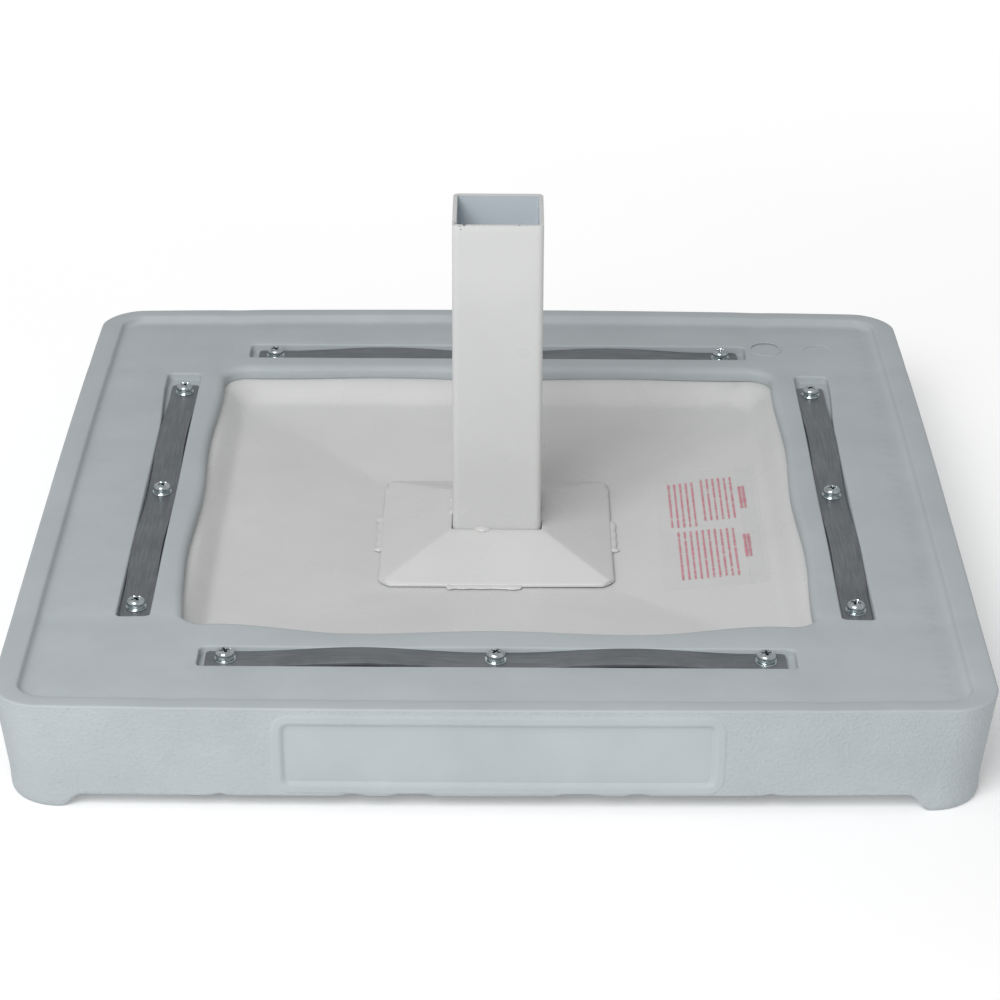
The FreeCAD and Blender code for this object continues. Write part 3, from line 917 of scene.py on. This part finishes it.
    def sole_points(self) -> np.ndarray:
        """Points that shape the underside where the feet drop to the floor."""
        x, y = np.meshgrid(np.arange(244, 295, 2.2), np.arange(249, 300, 2.2))
        points = np.c_[x.ravel(), y.ravel()]
        middle_x = self.reach_x - self.taper - self.corner
        middle_y = self.reach_y - self.taper - self.corner
        gap = self.corner - np.hypot(np.maximum(points[:, 0] - middle_x, 0),
                                     np.maximum(points[:, 1] - middle_y, 0))
        points = points[gap > self.edge_round + 1.5]
        corners = [points * sign for sign in ((1, 1), (1, -1), (-1, 1), (-1, -1))]
        points = np.vstack(corners)
        return raised(points, self.underside(points[:, 0], points[:, 1]))

    def settled(self, points: np.ndarray) -> np.ndarray:
        """Bow the outer sides and let the lip sag and creep between the screws.

        Args:
            points: points of the straight-sided ring.

        Returns:
            The moved points.
        """
        result = points.copy()
        x, y, z = points.T
        thick = np.clip((z - self.lip_under) / (self.lip_top - self.lip_under), 0.2, 1.0)
        on_lip = z > self.lip_under - 0.5
        thick = np.where(on_lip, thick, 0.0)
        # The front lip stands further into the opening, most of all at its corners.
        away = -y - self.opening_y
        held = smooth((away + 40) / 40) * (1 - smooth((away - 5) / 11))
        creep = self.front_creep + self.corner_creep * smooth((np.abs(x) - 95) / 85)
        result[:, 1] += creep * held * on_lip
        away = -x - self.opening_x
        held = smooth((away + 40) / 40) * (1 - smooth((away - 5) / 10))
        result[:, 0] += self.left_creep * smooth((-y - 140) / 60) * held * on_lip
        for axis, along, limit in ((0, y, self.opening_x), (1, x, self.opening_y)):
            away = np.abs(points[:, axis]) - limit
            near = smooth((away + 25) / 25) * np.exp(-np.maximum(away, 0) / 9)
            phase = math.pi * along / self.screw_pitch
            wave = np.sign(points[:, axis]) * self.lip_wave
            result[:, axis] -= wave * np.cos(2 * phase) * near * (thick > 0)
            result[:, 2] -= self.lip_wave * np.sin(phase) ** 2 * near * thick
        for axis, along, reach, span in ((0, y, self.reach_x, self.reach_y),
                                         (1, x, self.reach_y, self.reach_x)):
            outer = smooth((np.abs(points[:, axis]) - reach + 52) / 40)
            bow = np.where(y < 0, *(self.end_bows if axis else self.side_bows))
            result[:, axis] -= np.sign(points[:, axis]) * bow * (along / span) ** 2 * outer
        return result


@dataclass
class MouldMarks:
    """Faint raised rings that ejector pins leave on the lip."""

    finishes: Finishes
    places: tuple[tuple[float, float], ...] = ((202.0, 245.0), (241.0, 240.0))
    radius: float = 11.5
    bead: float = 0.8
    tilt: float = 0.45
    height: float = 70.8

    def build(self) -> None:
        """Build one ring at each place and dress it."""
        turn = np.linspace(0, 2 * math.pi, 40, endpoint=False)
        section = np.linspace(0, 2 * math.pi, 8, endpoint=False)
        for number, (x, y) in enumerate(self.places, start=1):
            shell = Shell()
            rows = []
            for angle in section:
                out = self.radius + self.bead * math.cos(angle)
                row = np.c_[x + out * np.cos(turn), y + out * np.sin(turn)]
                rise = self.tilt * np.sin(turn) - 0.6 * self.bead * math.sin(angle)
                rows.append(raised(row, self.height + rise))
            numbers = shell.rings(rows)
            shell.bridge(numbers[-1], numbers[0])
            shell.faces = [face[::-1] for face in shell.faces]
            shell.make(f"mould_mark_{number}", [self.finishes.skin])


# ---------------------------------------------------------------- pan, plate and post


@dataclass
class PressedPan:
    """Sheet steel pan: level seat, rising floor with soft hips, upstand and hidden flange."""

    finishes: Finishes
    sheet: float = 2.5
    # Each ring of the upper face: half sizes, corner radius, height.
    profile: tuple[tuple[float, float, float, float], ...] = (
        (12.0, 12.0, 1.5, 36.0),
        (50.0, 50.0, 2.0, 36.0),
        (79.0, 79.0, 2.0, 36.0),
        (83.0, 83.0, 2.0, 36.06),
        (87.0, 87.0, 2.4, 36.3),
        (95.0, 95.3, 3.0, 37.15),
        (115.0, 115.8, 5.0, 39.45),
        (140.0, 141.7, 7.5, 42.32),
        (165.0, 167.7, 10.5, 45.19),
        (180.0, 183.2, 12.5, 46.9),
        (184.0, 187.6, 14.0, 47.45),
        (186.5, 190.2, 15.0, 48.1),
        (188.6, 192.4, 16.0, 49.4),
        (190.8, 194.7, 17.0, 51.4),
        (194.5, 198.4, 18.5, 55.2),
        (197.8, 201.7, 20.0, 58.4),
        (200.4, 204.3, 21.5, 60.2),
        (203.2, 207.1, 23.0, 60.9),
        (206.5, 210.5, 24.5, 61.0),
        (254.0, 261.0, 46.0, 61.0),
    )

    def build(self) -> bpy.types.Object:
        """Build the sheet and dress it.

        Returns:
            The piece.
        """
        shell = Shell()
        upper = [raised(stretched_loop(rx, ry, corner, 22), z)
                 for rx, ry, corner, z in self.profile]
        lower = [row - (0, 0, self.sheet) for row in upper]
        rows = shell.rings([*lower, *reversed(upper)])
        shell.fill(rows[-1], [])
        shell.fill(rows[0], [], upward=False)
        return shell.make("pressed_pan", [self.finishes.coat], ("steel_pan",))


@dataclass
class BracePlate:
    """Square plate pressed to a low pyramid, with clipped corners and a hole for the post."""

    finishes: Finishes
    reach: float = 79.0
    clip: float = 8.0
    hole: float = 30.6
    edge: float = 38.7
    top: float = 56.0
    sheet: float = 2.0

    def loop(self, reach: float) -> np.ndarray:
        """Points round the plate at a distance from the axis, with clipped or pressed corners."""
        clip = max(self.clip - 2 * (self.reach - reach), 2.4)
        line = np.linspace(-1, 1, 15) * (reach - clip)
        side = np.c_[line, np.full(15, -reach)]
        share = np.linspace(0, 1, 6)[1:-1]
        bulge = (0.12 if clip > 3 else 0.5) * clip * np.sin(share * math.pi)
        cut = np.c_[reach - clip * (1 - share) + bulge * 0.5, -reach + clip * share - bulge * 0.5]
        quarter = np.vstack([side, cut])
        return np.vstack([turned(quarter, turn) for turn in range(4)])

    def height(self, reach: float) -> float:
        """Height of the upper face at a distance from the axis."""
        share = (self.reach - reach) / (self.reach - self.hole)
        return self.edge + (self.top - self.edge) * share

    def build(self) -> bpy.types.Object:
        """Build the plate and dress it.

        Returns:
            The piece.
        """
        shell = Shell()
        reaches = [self.reach, 78.6, 77.8, 76.5, 75.0, 72.0, 66.0, 58.0, 50.0, 42.0, 35.0, 31.5]
        upper = [raised(self.loop(r), self.height(r)) for r in reaches]
        upper[0][:, 2] -= 0.7
        upper[1][:, 2] -= 0.25
        upper.append(raised(self.loop(self.hole), self.top - 0.5))
        lower = [raised(self.loop(r), max(self.height(r) - self.sheet - 0.1, self.edge - 1.9))
                 for r in [*reaches, self.hole]]
        rows = shell.rings([*upper, *reversed(lower)])
        shell.bridge(rows[-1], rows[0])
        return shell.make("pyramid_brace_plate", [self.finishes.coat],
                          ("brace_plate",), self.sprung(shell.places()))

    def sprung(self, points: np.ndarray) -> np.ndarray:
        """Bend the plate's free corners a little, as the weld left them."""
        result = points.copy()
        far = smooth((np.hypot(points[:, 0], points[:, 1]) - 70) / 42)
        result[:, 2] += far * (0.35 + 0.35 * np.sin(points[:, 0] * 0.031 + 0.6))
        return result


@dataclass
class SocketPost:
    """Square tube, sawn off at the top, with round corners outside and tight ones inside."""

    finishes: Finishes
    reach: float = 30.0
    wall: float = 3.0
    corner: float = 4.0
    foot: float = SEAT_HEIGHT
    top: float = POST_TOP

    def build(self) -> bpy.types.Object:
        """Build the tube and dress it.

        Returns:
            The piece.
        """
        shell = Shell()
        heights = [self.foot, 60.0, 100.0, 150.0, 200.0, 250.0, 270.0, self.top - 0.45]
        rows = [raised(stretched_loop(self.reach, self.reach, self.corner, 14, 7), z)
                for z in heights]
        inner = self.reach - self.wall
        for inset, z in ((0.12, self.top - 0.12), (0.5, self.top)):
            reach = self.reach - inset
            rows.append(raised(stretched_loop(reach, reach, self.corner - inset, 14, 7), z))
        for inset, z in ((0.4, self.top - 0.02), (0.0, self.top - 0.35)):
            reach = inner + inset
            rows.append(raised(stretched_loop(reach, reach, 1.6 + inset, 14, 7), z))
        for z in reversed(heights[:-1]):
            rows.append(raised(stretched_loop(inner, inner, 1.6, 14, 7), z))
        numbers = shell.rings(rows)
        # The inner faces take the second material: cooler, and darker as painted shade in the bore.
        bore = (len(heights) + 3) * len(numbers[0])
        shell.finishes[bore:] = [1] * (len(shell.faces) - bore)
        shell.bridge(numbers[-1], numbers[0])
        return shell.make("socket_post",
                          [self.finishes.post_coat, self.finishes.bore], ("post_tube",))


@dataclass
class WeldBead:
    """One run of weld: overlapping ripples under the powder coat, thicker at its blobs."""

    finishes: Finishes
    name: str
    node: str
    side: Side
    start: float
    end: float
    out: float
    height: float
    run: float
    rise: float
    blobs: tuple[float, ...] = ()
    pitch: float = 3.4

    def build(self) -> bpy.types.Object:
        """Build the bead and dress it.

        Returns:
            The piece.
        """
        shell = Shell()
        places = np.linspace(self.start, self.end, int((self.end - self.start) / 0.7) + 2)
        section = np.linspace(0, 2 * math.pi, 14, endpoint=False)
        rows = []
        for place in places:
            reach = min(place - self.start, self.end - place)
            taper = math.sqrt(max(1 - (1 - min(reach / 3.0, 1)) ** 2, 0.004))
            ripple = 1 + 0.05 * abs(math.sin(math.pi * place / self.pitch)) + 0.1 * math.sin(
                place * 0.5 + self.side.value * 2.1)
            swell = sum(0.45 * math.exp(-((place - blob) / 3.2) ** 2) for blob in self.blobs)
            size = taper * (ripple + swell)
            lag = 0.5 * np.cos(section)
            row = np.c_[place + lag, -self.out - self.run * size * np.cos(section),
                        self.height + self.rise * size * np.sin(section)]
            rows.append(turned(row, self.side.value))
        numbers = shell.rings(rows)
        shell.face(numbers[0][::-1])
        shell.face(numbers[-1])
        return shell.make(self.name, [self.finishes.coat], (self.node,))


@dataclass
class WeldRing:
    """Beads round one joint, one to a side: where each starts and ends, and its blobs."""

    part: str
    out: float
    height: float
    run: float
    rise: float
    beads: dict[Side, tuple[float, float, tuple[float, ...]]]

    def build(self, finishes: Finishes) -> None:
        """Lay the ring's beads."""
        for side, (start, end, blobs) in self.beads.items():
            WeldBead(finishes, f"{self.part}_bead_{side.label}", f"{self.part}_weld_{side.label}",
                     side, start, end, self.out, self.height, self.run, self.rise, blobs).build()


WELD_RINGS = (
    WeldRing("plate", 79.4, 37.2, 2.9, 1.0, {
        Side.FRONT: (-34, 17, (-33, 10)), Side.RIGHT: (-28, 19, (-26,)),
        Side.REAR: (-22, 22, (0,)), Side.LEFT: (-28, 28, (-20, 26))}),
    WeldRing("post", 30.5, 55.6, 2.2, 1.2, {
        Side.FRONT: (-15.5, -4, (-10,)), Side.RIGHT: (-18, -4, (-12,)),
        Side.REAR: (-14, 14, (4,)), Side.LEFT: (-23, 7, (-14,))}),
)


# ---------------------------------------------------------------- strips and screws


@dataclass
class ClampStrip:
    """Bare steel bar, pulled down by three screws and arched between them."""

    finishes: Finishes
    side: Side
    half: float = 180.0
    breadth: float = 20.0
    thickness: float = 2.5
    bottom: float = 65.05
    arches: tuple[float, float, float, float] = (3.3, 3.0, 3.1, 3.0)
    sway: float = 1.3
    flat: float = 8.0
    pitch: float = SCREW_PITCH
    end_corner: float = 3.0
    edge: float = 0.45

    def build(self) -> bpy.types.Object:
        """Build the bar and dress it.

        Returns:
            The piece.
        """
        node = f"clamp_strip_{self.side.label}"
        sway = self.sway if self.side.value % 2 else 0.0
        ends = [0.05, 0.4, 1.0, 1.8, self.end_corner]
        line = np.r_[[-self.half + e for e in ends], np.arange(-174, 175, 3.0),
                     [self.half - e for e in reversed(ends)]]
        shell = Shell()
        rows = []
        for place in line:
            gap = self.half - abs(place)
            shrink = self.end_corner - math.sqrt(
                max(self.end_corner ** 2 - max(self.end_corner - gap, 0.0) ** 2, 0.0))
            half, thick, e = self.breadth / 2 - shrink, self.thickness, self.edge
            section = np.array([
                (-half, e), (-half + e, 0), (0, 0), (half - e, 0), (half, e), (half, thick - e),
                (half - e * 0.3, thick - e * 0.3), (half - e, thick), (0, thick),
                (-half + e, thick), (-half + e * 0.3, thick - e * 0.3), (-half, thick - e)])
            span = self.pitch - 2 * self.flat
            share = np.clip((abs(place) - self.flat) / span, 0, 1)
            between = math.sin(math.pi * share) ** 2
            lift = STRIP_LIFT[self.side] + self.arches[self.side.value] * between
            offset = strip_place(self.side) + sway * between
            row = np.c_[np.full(12, place), section[:, 0] - offset,
                        self.bottom + lift + section[:, 1]]
            rows.append(turned(row, self.side.value))
        numbers = shell.rings(rows)
        shell.face(numbers[0][::-1])
        shell.face(numbers[-1])
        material = self.finishes.strip_x if self.side.value % 2 == 0 else self.finishes.strip_y
        return shell.make(f"steel_strip_{self.side.label}", [material], (node,))


@dataclass
class CrossScrew:
    """Pan-head screw with a cross recess, on a thin washer; its seat is at height 0."""

    head: float = 5.9
    height: float = 6.4
    crown: float = 3.9
    arm: float = 1.0
    span: float = 3.6
    depth: float = 2.6
    shank: float = 3.0
    length: float = 16.0
    washer: float = 6.9
    washer_height: float = 0.9

    def mesh(self) -> bpy.types.Mesh:
        """Build the screw's mesh about the vertical axis.

        Returns:
            The mesh, in metres.
        """
        shell = Shell()
        turn = np.linspace(0, 2 * math.pi, 32, endpoint=False)
        circle = np.c_[np.cos(turn), np.sin(turn)]
        profile = [(self.shank, -self.length), (self.shank, -0.05), (self.washer, 0.0),
                   (self.washer + 0.1, 0.35), (self.washer - 0.2, self.washer_height),
                   (5.0, self.washer_height + 0.05), (4.9, 2.3), (self.head - 0.2, 2.4),
                   (self.head, 2.8), (self.head, 4.0), (self.head - 0.35, 5.0),
                   (self.head - 1.1, 5.8), (self.crown, 6.2)]
        rows = shell.rings([raised(circle * radius, height) for radius, height in profile])
        shell.fill(rows[0], [], upward=False)
        outline = self.cross(self.arm, self.span)
        edge = shell.add(raised(outline, self.height))
        shell.fill(rows[-1], [edge])
        lip = shell.add(raised(self.cross(self.arm * 0.85, self.span * 0.93), self.height - 0.35))
        floor = shell.add(raised(self.cross(self.arm * 0.5, self.span * 0.55),
                                 self.height - self.depth))
        shell.bridge(edge, lip)
        outside = len(shell.faces)
        shell.bridge(lip, floor)
        shell.fill(floor, [])
        mesh = bpy.data.meshes.new("cross_screw")
        mesh.from_pydata((shell.places() * MM).tolist(), [], shell.faces)
        # Mark the recess faces, which get painted shade: the darker zinc copy.
        recess = mesh.attributes.new("recess", "BOOLEAN", "FACE")
        recess.data.foreach_set("value", [place >= outside for place in range(len(shell.faces))])
        mesh.polygons.foreach_set("use_smooth", [True] * len(shell.faces))
        mesh.set_sharp_from_angle(angle=math.radians(32))
        return mesh

    @staticmethod
    def cross(arm: float, span: float) -> np.ndarray:
        """Outline of the recess: four arms, each with a rounded end."""
        quarter = np.array([(arm, -arm), (span - arm * 0.5, -arm), (span, -arm * 0.5),
                            (span, arm * 0.5), (span - arm * 0.5, arm)])
        return np.vstack([turned(quarter, turn) for turn in range(4)])


def open_tree(name: str, inputs: dict[str, tuple[str, object]]) -> tuple[
        bpy.types.NodeTree, bpy.types.Node, bpy.types.Node]:
    """Start a geometry tree with named inputs.

    Args:
        name: the tree's name.
        inputs: for each input, its socket type and default value.

    Returns:
        The tree, its input node and its output node.
    """
    tree = bpy.data.node_groups.new(name, "GeometryNodeTree")
    tree.interface.new_socket("Geometry", in_out="INPUT", socket_type="NodeSocketGeometry")
    for key, (kind, value) in inputs.items():
        socket = tree.interface.new_socket(key, in_out="INPUT", socket_type=kind)
        if value is not None:
            socket.default_value = value
    tree.interface.new_socket("Geometry", in_out="OUTPUT", socket_type="NodeSocketGeometry")
    return tree, tree.nodes.new("NodeGroupInput"), tree.nodes.new("NodeGroupOutput")


def grow(name: str, tree: bpy.types.NodeTree, values: dict[str, object]) -> bpy.types.Object:
    """Run a geometry tree once and keep the result as a plain mesh.

    Args:
        name: name of the new object.
        tree: the tree.
        values: values of its named inputs.

    Returns:
        The object, not yet linked.
    """
    carrier = bpy.data.objects.new(f"{name}_carrier", bpy.data.meshes.new(f"{name}_carrier"))
    bpy.context.scene.collection.objects.link(carrier)
    modifier = carrier.modifiers.new(tree.name, "NODES")
    modifier.node_group = tree
    for item in tree.interface.items_tree:
        if item.item_type == "SOCKET" and item.in_out == "INPUT" and item.name in values:
            modifier[item.identifier] = values[item.name]
    graph = bpy.context.evaluated_depsgraph_get()
    mesh = bpy.data.meshes.new_from_object(carrier.evaluated_get(graph))
    mesh.name = name
    carrier.modifiers.remove(modifier)
    bpy.data.objects.remove(carrier)
    return bpy.data.objects.new(name, mesh)


@dataclass
class ScrewSet:
    """The twelve strip screws, three to a side, each stopped at its own turn."""

    finishes: Finishes
    pitch: float = SCREW_PITCH
    seat: float = 67.55
    seed: int = 11

    def tree(self) -> bpy.types.NodeTree:
        """Build the tree that sets rows of screws on four sides.

        Returns:
            The tree.
        """
        inputs = {"Screw": ("NodeSocketObject", None), "Finish": ("NodeSocketMaterial", None),
                  "Recess Finish": ("NodeSocketMaterial", None),
                  "Pitch": ("NodeSocketFloat", 0.1), "Seed": ("NodeSocketInt", 0)}
        for side in Side:
            inputs[f"{side.label} offset"] = ("NodeSocketFloat", 0.2)
            inputs[f"{side.label} seat"] = ("NodeSocketFloat", 0.0)
        tree, given, result = open_tree("ScrewRows", inputs)
        pull = given.outputs
        back = add_node(tree, "ShaderNodeMath", {0: pull["Pitch"], 1: -1.0}, operation="MULTIPLY")
        start = add_node(tree, "ShaderNodeCombineXYZ", {"X": back.outputs[0]})
        step = add_node(tree, "ShaderNodeCombineXYZ", {"X": pull["Pitch"]})
        row = add_node(tree, "GeometryNodeMeshLine", {
            "Count": 3, "Start Location": start.outputs[0], "Offset": step.outputs[0]})
        sides = add_node(tree, "GeometryNodeJoinGeometry")
        for side in Side:
            out = add_node(tree, "ShaderNodeMath", {0: pull[f"{side.label} offset"], 1: -1.0},
                           operation="MULTIPLY")
            place = add_node(tree, "ShaderNodeCombineXYZ", {
                "Y": out.outputs[0], "Z": pull[f"{side.label} seat"]})
            moved = add_node(tree, "GeometryNodeTransform", {
                "Geometry": row.outputs["Mesh"], "Translation": place.outputs[0]})
            turn = add_node(tree, "GeometryNodeTransform", {
                "Geometry": moved.outputs[0], "Rotation": (0, 0, math.pi / 2 * side.value)})
            tree.links.new(turn.outputs[0], sides.inputs[0])
        low, high = (-0.03, -0.03, 0.0), (0.03, 0.03, 2 * math.pi)
        chance = add_node(tree, "FunctionNodeRandomValue", {
            0: low, 1: high, "Seed": pull["Seed"]}, data_type="FLOAT_VECTOR")
        screw = add_node(tree, "GeometryNodeObjectInfo", {"Object": pull["Screw"]})
        screws = add_node(tree, "GeometryNodeInstanceOnPoints", {
            "Points": sides.outputs[0], "Instance": screw.outputs["Geometry"],
            "Rotation": chance.outputs[0]})
        real = add_node(tree, "GeometryNodeRealizeInstances", {0: screws.outputs[0]})
        dressed = add_node(tree, "GeometryNodeSetMaterial", {
            "Geometry": real.outputs[0], "Material": pull["Finish"]})
        # The recess faces take the darker zinc: painted shade in the cross.
        recess = add_node(tree, "GeometryNodeInputNamedAttribute", {"Name": "recess"},
                          data_type="BOOLEAN")
        darkened = add_node(tree, "GeometryNodeSetMaterial", {
            "Geometry": dressed.outputs[0], "Selection": recess.outputs["Attribute"],
            "Material": pull["Recess Finish"]})
        tree.links.new(darkened.outputs[0], result.inputs[0])
        return tree

    def build(self) -> bpy.types.Object:
        """Set the screws and dress them.

        Returns:
            The piece.
        """
        screw = bpy.data.objects.new("screw_pattern", CrossScrew().mesh())
        bpy.context.scene.collection.objects.link(screw)
        values = {"Screw": screw, "Finish": self.finishes.zinc, "Pitch": self.pitch * MM,
                  "Recess Finish": self.finishes.recess, "Seed": self.seed}
        for side in Side:
            values[f"{side.label} offset"] = strip_place(side) * MM
            values[f"{side.label} seat"] = (self.seat + STRIP_LIFT[side]) * MM
        piece = grow("strip_screws", self.tree(), values)
        bpy.data.objects.remove(screw)
        nodes = tuple(f"strip_screw_{side.label}_{number}" for side in Side for number in (1, 2, 3))
        return place_piece(piece, nodes)


# ---------------------------------------------------------------- label


@dataclass
class PrintedBlock:
    """Rows of short red ticks that stand for small print, without any letters."""

    rows: int
    row_pitch: float
    length: float
    start_x: float
    middle_y: float
    tick: float = 1.0
    breadth: float = 1.8
    seed: int = 1
    bold: bool = False


@dataclass
class PanLabel:
    """Generic ticks printed on the clear film on the right side of the pan."""

    finishes: Finishes
    seat_edge: float = 85.0
    seat: float = SEAT_HEIGHT
    slope: float = 12.0 / 104.5
    film: float = 0.36
    blocks: tuple[PrintedBlock, ...] = (
        PrintedBlock(5, 4.1, 68, 121.5, 37.0, seed=3),
        PrintedBlock(6, 4.1, 64, 144.5, 42.0, seed=4),
        PrintedBlock(10, 4.15, 70, 125.0, -40.0, seed=5),
        PrintedBlock(2, 2.6, 32, 170.6, 41.0, 2.1, 2.4, 6, True),
        PrintedBlock(2, 2.6, 32, 169.4, -33.0, 2.1, 2.4, 7, True),
    )

    def tree(self) -> bpy.types.NodeTree:
        """Build the tree that prints one block of ticks.

        Returns:
            The tree.
        """
        tree, given, result = open_tree("PrintedRows", {
            "Rows": ("NodeSocketInt", 5), "Ticks": ("NodeSocketInt", 30),
            "Rows Size": ("NodeSocketFloat", 0.02), "Ticks Size": ("NodeSocketFloat", 0.05),
            "Breadth": ("NodeSocketFloat", 0.001), "Tick": ("NodeSocketFloat", 0.001),
            "Gaps": ("NodeSocketFloat", 0.86), "Ink": ("NodeSocketMaterial", None),
            "Seed": ("NodeSocketInt", 0)})
        pull = given.outputs
        points = add_node(tree, "GeometryNodeMeshGrid", {
            "Size X": pull["Rows Size"], "Size Y": pull["Ticks Size"],
            "Vertices X": pull["Rows"], "Vertices Y": pull["Ticks"]})
        print_chance = add_node(tree, "FunctionNodeRandomValue", {
            "Probability": pull["Gaps"], "Seed": pull["Seed"]}, data_type="BOOLEAN")
        size = add_node(tree, "FunctionNodeRandomValue", {
            0: (0.55, 0.6, 1.0), 1: (1.0, 1.0, 1.0), "Seed": pull["Seed"]},
            data_type="FLOAT_VECTOR")
        bar = add_node(tree, "ShaderNodeCombineXYZ", {
            "X": pull["Breadth"], "Y": pull["Tick"], "Z": 0.00008})
        tick = add_node(tree, "GeometryNodeMeshCube", {"Size": bar.outputs[0]})
        ticks = add_node(tree, "GeometryNodeInstanceOnPoints", {
            "Points": points.outputs["Mesh"], "Instance": tick.outputs["Mesh"],
            "Selection": print_chance.outputs[3], "Scale": size.outputs[0]})
        real = add_node(tree, "GeometryNodeRealizeInstances", {0: ticks.outputs[0]})
        inked = add_node(tree, "GeometryNodeSetMaterial", {
            "Geometry": real.outputs[0], "Material": pull["Ink"]})
        tree.links.new(inked.outputs[0], result.inputs[0])
        return tree

    def build(self) -> None:
        """Print each block on the film."""
        tree = self.tree()
        lean = Matrix.Rotation(-math.atan(self.slope), 4, "Y")
        for number, block in enumerate(self.blocks, start=1):
            ticks = int(block.length / block.tick)
            piece = grow(f"print_block_{number}", tree, {
                "Rows": block.rows, "Ticks": ticks,
                "Rows Size": (block.rows - 1) * block.row_pitch * MM,
                "Ticks Size": block.length * MM, "Breadth": block.breadth * MM,
                "Tick": block.tick * MM, "Gaps": 1.0 if block.bold else 0.9,
                "Ink": self.finishes.ink, "Seed": block.seed})
            middle = block.start_x + (block.rows - 1) * block.row_pitch / 2
            height = self.seat + (middle - self.seat_edge) * self.slope + self.film
            place = Vector((middle, block.middle_y, height)) * MM
            piece.data.transform(Matrix.Translation(place) @ lean)
            place_piece(piece)


def dress_kept_nodes(finishes: Finishes) -> None:
    """Give the CAD nodes that stay, such as the nuts under the pan, their materials."""
    kinds = {"weld_nut": finishes.zinc, "root_weld": finishes.coat, "pan_label": finishes.film}
    for name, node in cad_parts.items():
        for kind, material in kinds.items():
            if name.startswith(kind):
                node.data.materials.clear()
                node.data.materials.append(material)


# ---------------------------------------------------------------- studio


@dataclass
class Studio:
    """Pale floor, soft light and the camera; floor and light are in metres and watts."""

    floor_size: float = 12.0
    light_place: tuple[float, float, float] = (-0.8, -1.95, 2.05)
    light_target: tuple[float, float, float] = (0, 0, 0.05)
    light_size: float = 1.6
    light_power: float = 55.0
    sky_strength: float = 0.43
    camera_place: tuple[float, float, float] = (2.2, -1936.4, 1012.5)
    camera_target: tuple[float, float, float] = (2.2, -185.3, 153.7)
    lens: float = 113.05
    roll: float = 0.306

    def build(self) -> None:
        """Build the floor, the lights, the sky and the camera."""
        self.floor()
        self.softbox()
        world = bpy.data.worlds.new("studio_white")
        world.use_nodes = True
        sky = world.node_tree.nodes["Background"].inputs
        sky["Color"].default_value = (1, 1, 1, 1)
        sky["Strength"].default_value = self.sky_strength
        bpy.context.scene.world = world
        bpy.context.scene.view_settings.view_transform = "Standard"
        self.camera()

    def floor(self) -> None:
        """Lay the floor just under the feet."""
        half = self.floor_size / 2
        mesh = bpy.data.meshes.new("studio_floor")
        mesh.from_pydata([(-half, -half, 0), (half, -half, 0), (half, half, 0), (-half, half, 0)],
                         [], [(0, 1, 2, 3)])
        mesh.materials.append(StudioFloor("white_paper_sweep").material())
        floor = bpy.data.objects.new("studio_floor", mesh)
        bpy.context.scene.collection.objects.link(floor)

    def softbox(self) -> None:
        """Hang the square soft light."""
        light = bpy.data.lights.new("key_light", "AREA")
        light.size, light.energy = self.light_size, self.light_power
        item = bpy.data.objects.new("key_light", light)
        item.location = self.light_place
        way = Vector(self.light_target) - Vector(self.light_place)
        item.rotation_euler = way.to_track_quat("-Z", "Y").to_euler()
        bpy.context.scene.collection.objects.link(item)

    def camera(self) -> None:
        """Set up the camera."""
        lens = bpy.data.cameras.new("camera")
        lens.lens, lens.sensor_width, lens.clip_end = self.lens, 36.0, 50.0
        camera = bpy.data.objects.new("camera", lens)
        place, target = Vector(self.camera_place) * MM, Vector(self.camera_target) * MM
        camera.location = place
        camera.rotation_mode = "QUATERNION"
        roll = Quaternion((0, 0, 1), math.radians(self.roll))
        camera.rotation_quaternion = (target - place).to_track_quat("-Z", "Y") @ roll
        bpy.context.scene.collection.objects.link(camera)
        bpy.context.scene.camera = camera


def main() -> None:
    """Build the pieces in order, then the studio."""
    logging.basicConfig(level=logging.INFO, format="%(name)s %(message)s")
    Studio().build()
    finishes = Finishes()
    MouldedSurround(finishes).build()
    MouldMarks(finishes).build()
    PressedPan(finishes).build()
    BracePlate(finishes).build()
    SocketPost(finishes).build()
    for ring in WELD_RINGS:
        ring.build(finishes)
    for side in Side:
        ClampStrip(finishes, side).build()
    ScrewSet(finishes).build()
    PanLabel(finishes).build()
    dress_kept_nodes(finishes)


if __name__ == "__main__":
    main()
